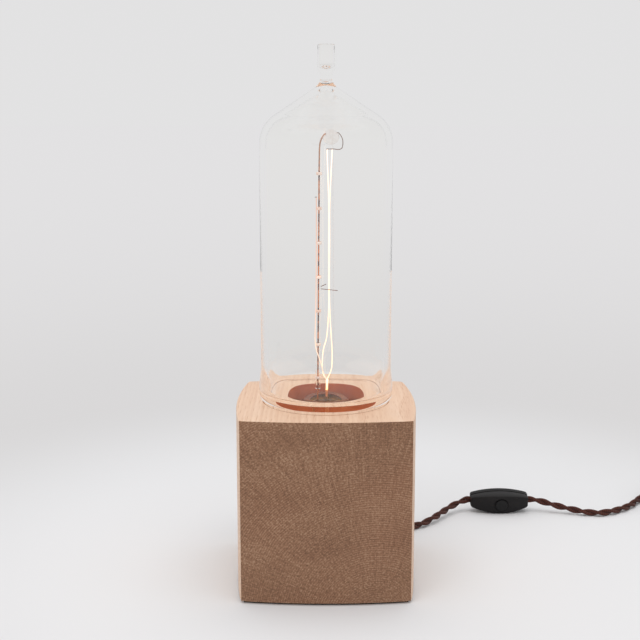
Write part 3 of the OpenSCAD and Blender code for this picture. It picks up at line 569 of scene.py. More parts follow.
@dataclass(frozen=True)
class Textile(Finish):
    """Braided yarn over a round strand, laid out on the strand's own UV map."""

    # The dark colour sits in the grooves between the yarns as painted shade, the light one on the raised yarn.
    dark: str = "26100a"
    light: str = "612d1f"
    carriers: float = 8.0
    lay: float = 520.0

    def sockets(self, graph: Graph, place: bpy.types.NodeSocket) -> Sockets:
        """Braid the yarns, darken the grooves between them as painted shade, and fade them a little.

        Args:
            graph: The material's graph.
            place: The object's coordinates.

        Returns:
            The surface's sockets.
        """
        u, v, _ = graph.axes(graph.coordinates("UV"))
        left = u * self.carriers + v * self.lay
        right = u * self.carriers - v * self.lay
        over = ((left + right) * 0.5).fraction().between(0.45, 0.55)
        ridges = [(side.fraction() - 0.5).size() * -2.0 + 1.0 for side in (left, right)]
        height = ridges[0] * over + ridges[1] * (1 - over)
        yarn = graph.noise(place, 1500, 3.0, 0.6)
        # Lighter on the raised yarn and darker in the grooves: painted shade; the noise adds random tone.
        tone = height * 0.55 + yarn * 0.3 + graph.noise(place, 90) * 0.25
        return {
            "Base Color": graph.mix(tone.between(0.2, 0.95), self.dark, self.light),
            "Roughness": 0.85,
            "Sheen Weight": 0.06,
            "Sheen Roughness": 0.5,
            "Normal": graph.bump(height + yarn * 0.4, 0.00022),
        }


@dataclass(frozen=True)
class Felt(Finish):
    """Pressed felt."""

    def sockets(self, graph: Graph, place: bpy.types.NodeSocket) -> Sockets:
        """Draw the fibres.

        Args:
            graph: The material's graph.
            place: The object's coordinates.

        Returns:
            The surface's sockets.
        """
        fibre = graph.noise(place, 900, 5.0, 0.75)
        return {
            "Base Color": graph.mix(fibre, "15110e", "3a322c"),
            "Roughness": 0.95,
            "Sheen Weight": 0.3,
            "Normal": graph.bump(fibre, 0.0003),
        }


@dataclass(frozen=True)
class Glazed(Finish):
    """Glazed or frosted ceramic and glass paste."""

    colour: str
    shade: str
    rough: float = 0.25

    def sockets(self, graph: Graph, place: bpy.types.NodeSocket) -> Sockets:
        """Cloud the glaze.

        Args:
            graph: The material's graph.
            place: The object's coordinates.

        Returns:
            The surface's sockets.
        """
        cloud = graph.noise(place, 200, 3.0)
        return {
            "Base Color": graph.mix(cloud.between(0.35, 0.7), self.colour, self.shade),
            "Roughness": (cloud - 0.5) * 0.15 + self.rough,
            "Normal": graph.bump(cloud, 0.00003),
        }


FINISHES: tuple[Finish, ...] = (
    Oak("oak_end", Cut.END),
    Oak("oak_long", Cut.LONG),
    Felt("felt"),
    Moulded("black_plastic", "232122", "302e2e"),
    Moulded("switch_shell", "171516", "201e1e", 0.5, shine=0.22),
    Moulded("button_face", "131213", "1c1a1b", 0.4, shine=0.25),
    Moulded("bakelite", "7a4226", "91552f", 0.4),
    Moulded("dark_cover", "1c1a19", "2a2725", 0.6),
    # Orange-brown oak in the well: painted warm light of the filament on the wood.
    Moulded("well_oak", "b8592c", "c96b3a", 0.7, 400.0, 0.0001),
    Moulded("core", "6d3a2a", "7f4a38", 0.5),
    Glazed("porcelain", "efece4", "dcd7cc"),
    Glazed("cement", "b08a66", "8f6a4a", 0.8),
    Glazed("collar_glass", "fbeadf", "f2d3c2", 0.35),
    Metal("brass", "d9b56a", "8f6d33", 0.25),
    Metal("steel", "c3c5c8", "85878a", 0.28),
    Metal("spring_steel", "aeb0b3", "6d6f72", 0.3),
    Metal("copper", "9c5a3e", "57291b", 0.35, 0.8),
    Metal("hook_copper", "9a7f74", "77655f", 0.4, 0.5, 0.4),
    ClearGlass("clear_glass"),
    ClearGlass("seat_glass", "ffffff", 1.0),
    ClearGlass("floor_glass", "ffffff", 1.06),
    # Brown-tinted glass on the foot's line of contact: a painted contact shadow.
    ClearGlass("foot_glass", "8a5534", 1.0),
    Opal("opal"),
    Glow("filament", 1.7, ((170.0, "ffe6c4"), (340.0, "ffe9cc"), (368.0, "ffeedb"))),
    Glow("dim_filament", 1.2, ((180.0, "ffe2c8"), (225.0, "eccdbd"), (327.0, "d9b8aa")), "dba58e"),
    Glow(
        "lead_glow",
        2.0,
        (
            (150.0, "7c4022"), (GLOW_STARTS, "7c4022"), (GLOW_FULL, "ffcf90"),
            (162.0, "ffdfae"), (174.0, "ffe8c4"),
        ),
        "f7a45c",
    ),
    LeadWire("lead_wire"),
    Textile("textile"),
)  # fmt: skip


class Palette:
    """Makes each finish once and hands it out by name."""

    def __init__(self) -> None:
        """List the finishes."""
        self.finishes = {finish.name: finish for finish in FINISHES}
        self.made: dict[str, bpy.types.Material] = {}

    def __getitem__(self, name: str) -> bpy.types.Material:
        """Give a finish, making it the first time."""
        if name not in self.made:
            self.made[name] = self.finishes[name].make()
        return self.made[name]


# ---------------------------------------------------------------- mesh helpers


def ring(bm: bmesh.types.BMesh, segments: int, place: Place) -> list[bmesh.types.BMEdge]:
    """Lay a closed loop of edges.

    Args:
        bm: The mesh it is added to.
        segments: Number of its edges.
        place: Gives the point for each angle in radians.

    Returns:
        The loop's edges.
    """
    verts = bmesh.ops.create_circle(bm, segments=segments, radius=1.0)["verts"]
    for vert in verts:
        vert.co = place(math.atan2(vert.co.y, vert.co.x))
    return list(dict.fromkeys(edge for vert in verts for edge in vert.link_edges))


def loft(bm: bmesh.types.BMesh, segments: int, places: Sequence[Place], closed: bool = False) -> None:
    """Bridge a row of loops.

    Args:
        bm: The mesh they are added to.
        segments: Number of edges of each loop.
        places: One function for each loop, as ring takes it.
        closed: Whether the last loop is joined to the first; otherwise both ends are capped.
    """
    rings = [ring(bm, segments, place) for place in places]
    pairs = list(zip(rings, rings[1:]))
    if closed:
        pairs.append((rings[-1], rings[0]))
    for first, second in pairs:
        bmesh.ops.bridge_loops(bm, edges=first + second)
    if not closed:
        for end in (rings[0], rings[-1]):
            bmesh.ops.contextual_create(bm, geom=end)


def spin(bm: bmesh.types.BMesh, profile: Sequence[Point], segments: int = 96, closed: bool = False) -> None:
    """Turn a profile once round the Z axis.

    Args:
        bm: The mesh it is added to.
        profile: Radius and height of each point, in millimetres.
        segments: Number of steps round the axis.
        closed: Whether the last point is joined to the first.
    """
    verts = [bm.verts.new((radius * MM, 0.0, height * MM)) for radius, height in profile]
    edges = [bm.edges.new(pair) for pair in zip(verts, verts[1:])]
    if closed:
        edges.append(bm.edges.new((verts[-1], verts[0])))
    around = {"cent": (0, 0, 0), "axis": (0, 0, 1), "angle": FULL_TURN, "steps": segments}
    bmesh.ops.spin(bm, geom=verts + edges, use_merge=True, use_duplicate=False, **around)
    bmesh.ops.remove_doubles(bm, verts=bm.verts, dist=1e-7)


def arc(centre: Point, radii: Point, start: float, stop: float, steps: int) -> list[Point]:
    """Give the points of an arc.

    Args:
        centre: Its centre.
        radii: Its two half axes.
        start: First angle in degrees.
        stop: Last angle in degrees.
        steps: Number of steps.

    Returns:
        The points, both ends included.
    """
    angles = [math.radians(start + (stop - start) * i / steps) for i in range(steps + 1)]
    return [(centre[0] + radii[0] * math.cos(a), centre[1] + radii[1] * math.sin(a)) for a in angles]


def eased(start: Point, stop: Point, steps: int) -> list[Point]:
    """Give the points of a soft S from start to stop, start left out.

    Args:
        start: The point it leaves.
        stop: The point it reaches.
        steps: Number of steps.

    Returns:
        The points.
    """
    return [
        (start[0] + (stop[0] - start[0]) * ease(i / steps), start[1] + (stop[1] - start[1]) * i / steps)
        for i in range(1, steps + 1)
    ]


def squarish(turn: float, half_x: float, half_y: float, power: float) -> Point:
    """Give the point of a box with round corners in a direction; a small power makes them tight."""
    c, s = math.cos(turn), math.sin(turn)
    return half_x * math.copysign(abs(c) ** power, c), half_y * math.copysign(abs(s) ** power, s)


def smooth_path(points: Sequence[Vector], step: float) -> list[Vector]:
    """Run a smooth curve through points and divide it evenly.

    Args:
        points: The points it passes through.
        step: About how far apart the new points are, in the points' unit.

    Returns:
        The evenly spaced points, both ends included.
    """
    fine: list[Vector] = []
    padded = [points[0] * 2 - points[1], *points, points[-1] * 2 - points[-2]]
    for before, start, stop, after in zip(padded, padded[1:], padded[2:], padded[3:]):
        span = max(1e-9, (stop - start).length)
        first = max(1e-9, (start - before).length)
        last = max(1e-9, (after - stop).length)
        leave = ((start - before) / first - (stop - before) / (first + span) + (stop - start) / span) * span
        arrive = ((stop - start) / span - (after - start) / (span + last) + (after - stop) / last) * span
        count = max(2, math.ceil(span / step) * 2)
        for i in range(count):
            t = i / count
            fine.append(
                start * (2 * t**3 - 3 * t**2 + 1)
                + leave * (t**3 - 2 * t**2 + t)
                + stop * (3 * t**2 - 2 * t**3)
                + arrive * (t**3 - t**2)
            )
    fine.append(points[-1].copy())
    return even_path(fine, step)


def even_path(points: Sequence[Vector], step: float) -> list[Vector]:
    """Divide a chain of points into equal steps of about the given length.

    Args:
        points: The chain's points.
        step: About how long each step is.

    Returns:
        The evenly spaced points.
    """
    marks = [0.0]
    for first, second in zip(points, points[1:]):
        marks.append(marks[-1] + (second - first).length)
    count = max(1, round(marks[-1] / step))
    result: list[Vector] = []
    at = 0
    for i in range(count + 1):
        goal = marks[-1] * i / count
        while at < len(marks) - 2 and marks[at + 1] < goal:
            at += 1
        span = max(1e-12, marks[at + 1] - marks[at])
        result.append(points[at].lerp(points[at + 1], (goal - marks[at]) / span))
    return result


def travel_frames(points: Sequence[Vector]) -> list[Matrix]:
    """Give a frame at each point of a path, Z along it, that turns no more than it has to.

    Args:
        points: The path's points.

    Returns:
        One frame for each point.
    """
    frames: list[Matrix] = []
    side: Vector | None = None
    for i, point in enumerate(points):
        ahead = (points[min(i + 1, len(points) - 1)] - points[max(i - 1, 0)]).normalized()
        if side is None:
            side = ahead.orthogonal()
        side = (side - ahead * side.dot(ahead)).normalized()
        turn = Matrix((side, ahead.cross(side), ahead)).transposed().to_4x4()
        frames.append(Matrix.Translation(point) @ turn)
    return frames


def sweep(bm: bmesh.types.BMesh, points: Sequence[Vector], radius: float, sides: int = 12) -> None:
    """Draw a round strand along a path and lay it out on a UV map.

    Args:
        bm: The mesh it is added to.
        points: The path in metres.
        radius: The strand's radius in millimetres.
        sides: Number of its sides.
    """
    uv = bm.loops.layers.uv.verify()
    frames = travel_frames(points)
    verts = bmesh.ops.create_circle(bm, segments=sides, radius=radius * MM, matrix=frames[0])["verts"]
    edges = list(dict.fromkeys(edge for vert in verts for edge in vert.link_edges))
    bmesh.ops.contextual_create(bm, geom=edges)
    run = 0.0
    for i in range(1, len(frames)):
        inverse = frames[i - 1].inverted()
        length = (points[i] - points[i - 1]).length
        made = bmesh.ops.extrude_edge_only(bm, edges=edges)["geom"]
        edges = [item for item in made if isinstance(item, bmesh.types.BMEdge)]
        fresh = {item for item in made if isinstance(item, bmesh.types.BMVert)}
        for face in (item for item in made if isinstance(item, bmesh.types.BMFace)):
            turns = {}
            for corner in face.loops:
                spot = inverse @ corner.vert.co
                turns[corner] = math.atan2(spot.y, spot.x) / FULL_TURN
            if max(turns.values()) - min(turns.values()) > 0.5:
                turns = {corner: turn + (turn < 0) for corner, turn in turns.items()}
            for corner, turn in turns.items():
                corner[uv].uv = (turn, run + (length if corner.vert in fresh else 0.0))
        step = frames[i] @ inverse
        for vert in fresh:
            vert.co = step @ vert.co
        run += length
    bmesh.ops.contextual_create(bm, geom=edges)


def lay_on_side(axis: str) -> Matrix:
    """Turn the Z axis a quarter turn about X or Y."""
    return Matrix.Rotation(math.pi / 2, 4, axis)


def link(name: str, data: bpy.types.ID) -> bpy.types.Object:
    """Put an object in the scene."""
    thing = bpy.data.objects.new(name, data)
    bpy.context.scene.collection.objects.link(thing)
    return thing


def new_mesh(bm: bmesh.types.BMesh, name: str) -> bpy.types.Mesh:
    """Turn a mesh under work into a finished one and free it.

    Args:
        bm: The mesh under work.
        name: The finished mesh's name.

    Returns:
        The finished mesh.
    """
    mesh = bpy.data.meshes.new(name)
    bm.to_mesh(mesh)
    bm.free()
    return mesh


def cut_out(piece: bpy.types.Object, cutter: bmesh.types.BMesh) -> None:
    """Take a closed mesh out of a piece and free the mesh.

    Args:
        piece: The piece.
        cutter: The closed mesh.
    """
    bmesh.ops.recalc_face_normals(cutter, faces=cutter.faces)
    mesh = new_mesh(cutter, "cutter")
    tool = link("cutter", mesh)
    modifier = piece.modifiers.new("cut", "BOOLEAN")
    modifier.operation = "DIFFERENCE"
    modifier.solver = "MANIFOLD"
    modifier.object = tool
    graph = bpy.context.evaluated_depsgraph_get()
    result = bpy.data.meshes.new_from_object(piece.evaluated_get(graph))
    piece.modifiers.clear()
    old = piece.data
    piece.data = result
    result.name = old.name
    bpy.data.meshes.remove(old)
    bpy.data.objects.remove(tool)
    bpy.data.meshes.remove(mesh)
    result.set_sharp_from_angle(angle=math.radians(SHARP_EDGE))


def pass_light(piece: bpy.types.Object) -> None:
    """Let the lamps' light through a glass piece."""
    piece.visible_shadow = False
    piece.visible_diffuse = False


@dataclass
class Assembly:
    """A part of the lamp whose pieces take their finishes from one palette."""

    palette: Palette

    def piece(
        self,
        bm: bmesh.types.BMesh,
        name: str,
        finishes: str,
        slot: str,
        nodes: str,
        body: str = "base",
        angle: float = SHARP_EDGE,
        turn_out: bool = True,
    ) -> bpy.types.Object:
        """Turn a mesh into a piece of the lamp.

        Args:
            bm: The mesh, which is freed.
            name: The piece's name.
            finishes: Its finishes with spaces between, in the order of its faces' numbers.
            slot: The record's material slot; not used.
            nodes: The nodes it stands for, with spaces between.
            body: The body it rides on.
            angle: Edges sharper than this many degrees stay sharp.
            turn_out: Whether its normals are worked out again.

        Returns:
            The piece.
        """
        if turn_out:
            bmesh.ops.recalc_face_normals(bm, faces=bm.faces)
        mesh = new_mesh(bm, name)
        mesh.shade_smooth()
        mesh.set_sharp_from_angle(angle=math.radians(angle))
        piece = link(name, mesh)
        for finish in finishes.split():
            mesh.materials.append(self.palette[finish])
        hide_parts(*nodes.split())
        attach(piece, body)
        log.info("%s: %d faces on %s", name, len(mesh.polygons), body)
        return piece

    def dress(self, **finishes: str) -> list[bpy.types.Object]:
        """Give nodes of the frame their finish.

        Args:
            finishes: For each finish its nodes, with spaces between.

        Returns:
            The dressed pieces.
        """
        pieces = []
        for finish, nodes in finishes.items():
            for node in nodes.split():
                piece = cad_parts[node]
                piece.data.materials.clear()
                piece.data.materials.append(self.palette[finish])
                log.info("%s: dressed in %s", node, finish)
                pieces.append(piece)
        return pieces


# ---------------------------------------------------------------- block


@dataclass
class Block(Assembly):
    """The oak block with its well, its pad and the cover of its cavity."""

    width: float = 140.0
    swell: float = 5.5
    foot: float = 2.0
    top: float = 154.0
    well_r: float = 33.0
    well_floor: float = 68.0
    ceiling: float = 50.0
    cavity_r: float = 35.0
    cover_r: float = 41.0
    cover_top: float = 5.0
    bore_r: float = 5.05
    corner_r: float = 98.2
    segments: int = 192

    def outline(self, turn: float, inset: float = 0.0) -> Point:
        """Give the outline's point in a direction.

        Args:
            turn: The direction in radians.
            inset: How far the outline is drawn in.

        Returns:
            The point's X and Y.
        """
        half = self.width / 2
        side_r = (half * half + self.swell * self.swell) / (2 * self.swell)
        back = side_r - half - self.swell
        ray = Vector((math.cos(turn), math.sin(turn)))
        reach = self.corner_r - inset
        for side in (Vector((1, 0)), Vector((-1, 0)), Vector((0, 1)), Vector((0, -1))):
            along = ray.dot(side * -back)
            gap = along * along - back * back + (side_r - inset) ** 2
            reach = min(reach, along + math.sqrt(gap))
        return ray.x * reach, ray.y * reach

    def side(self, height: float, inset: float = 0.0) -> Place:
        """Give a loop on the block's outside."""
        return lambda turn: Vector((*self.outline(turn, inset), height)) * MM

    @staticmethod
    def round(radius: float, height: float) -> Place:
        """Give a round loop on the block's axis."""
        return lambda turn: Vector((radius * math.cos(turn), radius * math.sin(turn), height)) * MM

    def build(self) -> bpy.types.Object:
        """Build the block, with end grain in front and behind and oak in the well painted orange-brown as
        painted warm light of the filament.

        Returns:
            The block.
        """
        bm = bmesh.new()
        edge = [(0.0, 0.9), (0.08, 0.5), (0.28, 0.22), (0.6, 0.04), (0.9, 0.0)]
        places = [self.side(self.foot + rise, inset) for rise, inset in edge]
        places += [self.side(self.top - rise, inset) for rise, inset in reversed(edge)]
        inside = [
            (self.well_r + 0.5, self.top), (self.well_r + 0.15, self.top - 0.15), (self.well_r, self.top - 0.5),
            (self.well_r, self.well_floor), (self.bore_r, self.well_floor), (self.bore_r, self.ceiling),
            (self.cavity_r, self.ceiling), (self.cavity_r, self.cover_top), (self.cover_r, self.cover_top),
            (self.cover_r, self.foot),
        ]  # fmt: skip
        places += [self.round(*row) for row in inside]
        loft(bm, self.segments, places, closed=True)
        bm.normal_update()
        bmesh.ops.recalc_face_normals(bm, faces=bm.faces)
        bm.normal_update()
        for face in bm.faces:
            spot = face.calc_center_median() / MM
            radius = math.hypot(spot.x, spot.y)
            outside = radius > self.well_r - 0.5 or spot.z < self.ceiling
            on_well_edge = radius < self.well_r + 0.2 and spot.z > self.ceiling
            along_grain = abs(face.normal.y) < 0.6
            # The well and the bore take the orange-brown oak, painted warm light of the filament.
            face.material_index = int(along_grain) if outside and not on_well_edge else 2
        return self.piece(bm, "oak_block", "oak_end oak_long well_oak", "oak", "wood_block", angle=25.0)

    def make(self) -> None:
        """Build the block and dress what is under it."""
        self.build()
        self.dress(felt="base_pad", dark_cover="cavity_cover", steel="cover_screws")


# ---------------------------------------------------------------- lampholder


@dataclass
class Lampholder(Assembly):
    """The lampholder in the well, its threaded tube and the clamp of the cord."""

    core_x: float = 1.65
    core_r: float = 1.1

    def cores(self) -> bpy.types.Object:
        """Build the two cores that run from the cord to the holder's terminals.

        Returns:
            The cores.
        """
        bm = bmesh.new()
        for side in (-1, 1):
            x = side * self.core_x
            route = [
                (x, 12, 30), (x, 7, 30.5), (x, 3, 32.7), (x, 0.8, 37), (x, 0, 42), (x, 0, 61), (x, 0, 80),
                (side * 3, 0, 86), (side * 5.85, 0, 92), (side * 6.5, 0, 97), (side * 6.5, 0, 101),
            ]  # fmt: skip
            sweep(bm, smooth_path([Vector(spot) * MM for spot in route], 1.2 * MM), self.core_r, 10)
        return self.piece(bm, "core_pair", "core", "core", "holder_wires")

    def make(self) -> None:
        """Build the cores and dress the rest."""
        self.cores()
        self.dress(
            bakelite="holder_base holder_skirt",
            black_plastic="cord_grip grip_bar",
            porcelain="holder_insert",
            brass="holder_sleeve centre_spring side_contact",
            steel="nipple nipple_washer nipple_nut terminal_screws grip_screws",
        )


# ---------------------------------------------------------------- bulb


@dataclass
class Bulb(Assembly):
    """The glass bulb that stands on the block, with its cap and its filament."""

    base: float = 154.0
    tube_r: float = 55.0
    wall: float = 5.0
    floor: float = 6.0
    stub: float = 27.0
    body: float = 216.8
    shoulder_r: float = 28.0
    cone: float = 33.0
    foot_r: float = 53.0
    foot_swell: float = 1.8
    foot_edge: float = 11.0
    swell_run: float = 20.0
    waist_r: float = 4.75
    throat: float = 4.25
    throat_run: float = 7.1
    stub_r: float = 7.0
    stub_wall: float = 1.4
    stub_floor: float = 11.6
    neck_r: float = 13.0
    neck_wall: float = 2.0
    neck_len: float = 13.0
    inner_corner: float = 7.0
    seat: float = 3.5
    contact: float = 0.45
    strand_r: float = 0.46
    rod_foot: Point = (-7.05, -8.0)
    rod_head: Point = (-5.5, 216.0)
    collars: int = 7
    collar_first: float = 19.0
    collar_pitch: float = 28.8
    segments: int = 128

    def above(self, x: float, y: float, height: float) -> Vector:
        """Give a point over the block's top, in metres."""
        return Vector((x, y, self.base + height)) * MM

    def profiles(self) -> tuple[list[Point], list[Point]]:
        """Give the glass's outer and inner profile, in millimetres.

        Returns:
            Radius and height of the points, from the axis to the axis.
        """
        bend = self.tube_r - self.shoulder_r
        turn = 90 - self.cone
        slope = math.tan(math.radians(self.cone))
        shoulder = arc((bend, self.body), (self.shoulder_r, self.shoulder_r), 0, turn, 28)
        throat_r = self.waist_r + self.throat
        throat_z = shoulder[-1][1] + (shoulder[-1][0] - throat_r) * slope
        waist_z = throat_z + self.throat_run
        foot_z = self.foot_edge
        swollen = self.tube_r + self.foot_swell
        neck_in = self.neck_r - self.neck_wall
        outer = [(0.0, 0.0), (neck_in, 0.0), (neck_in, -self.neck_len), (self.neck_r, -self.neck_len)]
        outer += arc((self.neck_r + 2, -2.0), (2.0, 2.0), 180, 90, 6)
        outer += arc((self.foot_r, foot_z), (swollen - self.foot_r, foot_z), -90, 0, 20)
        outer += eased((swollen, foot_z), (self.tube_r, foot_z + self.swell_run), 14)
        outer += shoulder
        steps = 12
        for i in range(steps + 1):
            radius = self.waist_r + self.throat * (1 - i / steps) ** 2
            outer.append((radius, throat_z + self.throat_run * i / steps))
        outer += eased((self.waist_r, waist_z), (self.stub_r + 0.25, waist_z + 9.6), 14)
        outer += [(self.stub_r + 0.05, waist_z + self.stub_floor), (self.stub_r, waist_z + 14)]
        rim = self.stub_wall / 2
        outer += arc((self.stub_r - rim, waist_z + self.stub - rim), (rim, rim), 0, 180, 8)
        outer += arc((0.0, waist_z + self.stub_floor), (self.stub_r - self.stub_wall, 4.0), 0, -90, 10)
        tight = self.shoulder_r - self.wall
        top = arc((bend, self.body), (tight, tight), 0, turn, 28)
        apex_r = 3.0
        apex_z = top[-1][1] + (top[-1][0] - apex_r) * slope
        top += [(apex_r, apex_z), (1.4, apex_z + 0.8), (0.0, apex_z + 1.0)]
        corner = self.inner_corner
        centre = (self.tube_r - self.wall - corner, self.floor + corner)
        inner = [(0.0, self.floor), *arc(centre, (corner, corner), -90, 0, 12), *top]
        outer, inner = [[(radius, height + self.base) for radius, height in row] for row in (outer, inner)]
        return outer, inner

    def envelope(self) -> bpy.types.Object:
        """Spin the outside and the inside of the glass.

        The outside below the seat is drawn as glass in touch with the wood, its line of contact
        tinted brown as a painted contact shadow, and the floor inside as glass that mirrors little,
        so that the wood and the well show through the base.

        Returns:
            The glass.
        """
        outer, inner = self.profiles()
        bm = bmesh.new()
        spin(bm, inner, self.segments)
        bmesh.ops.recalc_face_normals(bm, faces=bm.faces)
        bmesh.ops.reverse_faces(bm, faces=bm.faces)
        hollow = set(bm.faces)
        spin(bm, outer, self.segments)
        shell = [face for face in bm.faces if face not in hollow]
        bmesh.ops.recalc_face_normals(bm, faces=shell)
        for face in shell:
            spot = face.calc_center_median()
            face.material_index = int(spot.z < (self.base + self.seat) * MM)
            # A thin ring at the foot's line of contact takes the brown glass: a painted contact shadow.
            if spot.z < (self.base + self.contact) * MM and spot.xy.length > (self.foot_r - 1.5) * MM:
                face.material_index = 3
        for face in hollow:
            if face.calc_center_median().z < (self.base + self.floor + 0.05) * MM:
                face.material_index = 2
        glass = self.piece(
            bm,
            "bulb_glass",
            "clear_glass seat_glass floor_glass foot_glass",
            "clear_glass",
            "glass_envelope",
            "bulb",
            angle=50.0,
            turn_out=False,
        )
        pass_light(glass)
        return glass

    def wire(
        self, name: str, finish: str, slot: str, node: str, radius: float, *routes: Sequence[Spot]
    ) -> bpy.types.Object:
        """Draw thin wires along routes.

        Args:
            name: The piece's name.
            finish: Its finish.
            slot: The record's material slot; passed on, but not used.
            node: The node it stands for.
            radius: The wires' radius in millimetres.
            routes: The points each wire passes through, over the block's top.

        Returns:
            The piece.
        """
        bm = bmesh.new()
        for route in routes:
            sweep(bm, smooth_path([self.above(*spot) for spot in route], 1.0 * MM), radius, 10)
        return self.piece(bm, name, finish, slot, node, "bulb")

    def strands(self) -> None:
        """Draw the glowing strands."""
        left = [
            (0.9, 0, 211.5), (1.2, 0, 198), (1.8, 0, 184), (2.2, 0, 170), (2.3, 0, 136), (2.3, 0, 106),
            (2.3, 0, 78), (1.5, 0, 63), (0.3, 0, 52), (-2, 0, 44), (-3, 0, 34), (-2.9, 0, 26),
            (-1.6, 0, 20.5), (0.45, 0, 17.9),
        ]  # fmt: skip
        right = [
            (5.0, 0, 211.5), (4.4, 0, 198), (3.7, 0, 184), (3.1, 0, 170), (3.0, 0, 136), (3.2, 0, 78),
            (4.4, 0, 56), (5.3, 0, 41), (5.3, 0, 35), (4.6, 0, 26), (2.6, 0, 20.5), (1.35, 0, 18),
        ]  # fmt: skip
        outer = [
            (-8.0, -2, 172), (-8.0, -2, 136), (-8.3, -2, 96), (-8.9, -2.2, 66), (-9.1, -2.6, 52),
            (-8.2, -3.2, 44), (-6.6, -3.4, 39), (-5.0, -3, 34.5), (-3.8, -2.2, 30), (-2.4, -1.7, 24.5),
            (-0.6, -1.3, 20), (0.7, -0.85, 17.9),
        ]  # fmt: skip
        for side, finish, route in (
            ("left", "filament", left),
            ("right", "filament", right),
            ("outer", "dim_filament", outer),
        ):
            self.wire(f"strand_{side}", finish, "filament", f"filament_{side}", self.strand_r, route)

    def wires(self) -> None:
        """Draw the rod with its bent head, the hook for the strands, the lead and what is in the cap."""
        rod = [
            (-7.05, 0, -8), (-6.7, 0, 40), (-6.3, 0, 100), (-5.9, 0, 160), (-5.55, 0, 206), (-5.4, 0, 212),
            (-4.9, 0, 217), (-3.8, 0, 220.5), (-2.2, 0, 223.3), (0, 0, 225),
        ]  # fmt: skip
        hook = [
            (8.6, 0, 226.2), (10.4, 0, 225.6), (11.9, 0, 223.6), (13.3, 0, 220.8), (13.8, 0, 218.2),
            (13.6, 0, 214.6), (13.1, 0, 212.8), (12, 0, 212), (6, 0, 212), (0.2, 0, 212),
        ]  # fmt: skip
        lead = [(0.6, 0, -4), (0.75, 0, 2), (0.95, 0, 10), (1.15, 0, 17)]
        side = [
            (-7.05, 0, -8), (-7.9, 0, -11), (-8.6, 0, -13), (-8.8, 0, -19), (-10.2, 0, -23),
            (-11.25, 0, -26), (-11.25, 0, -29),
        ]  # fmt: skip
        middle = [(0.6, 0, -4), (0.4, 0, -8), (0, 0, -15), (0, 0, -34.5)]
        self.wire("rod_wire", "lead_wire", "copper", "support_rod", 0.62, rod)
        self.wire("hook_wire", "hook_copper", "copper", "top_hook", 0.34, hook)
        self.wire("lead_stub", "lead_glow", "filament", "lower_lead", 1.0, lead)
        self.wire("cap_leads", "copper", "copper", "cap_wires", 0.4, side, middle)

    def rod_x(self, height: float) -> float:
        """Give the rod's X at a height over the block's top."""
        (x0, z0), (x1, z1) = self.rod_foot, self.rod_head
        return x0 + (x1 - x0) * (height - z0) / (z1 - z0)

    def sleeve_collars(self) -> bpy.types.Object:
        """Spin the pale rings round the rod's sleeve.

        Returns:
            The rings.
        """
        bm = bmesh.new()
        profile = arc((2.2, 0.0), (0.3, 1.2), -90, 90, 8) + [(2.14, 1.1), (2.14, -1.1)]
        for i in range(self.collars):
            height = self.collar_first + self.collar_pitch * i
            older = set(bm.verts)
            spin(bm, profile, 32, closed=True)
            fresh = [vert for vert in bm.verts if vert not in older]
            bmesh.ops.translate(bm, verts=fresh, vec=self.above(self.rod_x(height), 0, height))
        return self.piece(bm, "collar_rings", "collar_glass", "porcelain", "rod_collars", "bulb")

    def make(self) -> None:
        """Build the bulb and dress its plain pieces."""
        self.envelope()
        self.strands()
        self.wires()
        self.sleeve_collars()
        self.dress(
            brass="cap_shell",
            cement="cap_cement",
            bakelite="cap_insulator",
            steel="cap_contact",
            copper="mid_hooks",
            lead_glow="lower_joint",
        )
        for piece in self.dress(clear_glass="rod_sleeve", opal="top_bead"):
            pass_light(piece)


# ---------------------------------------------------------------- switch


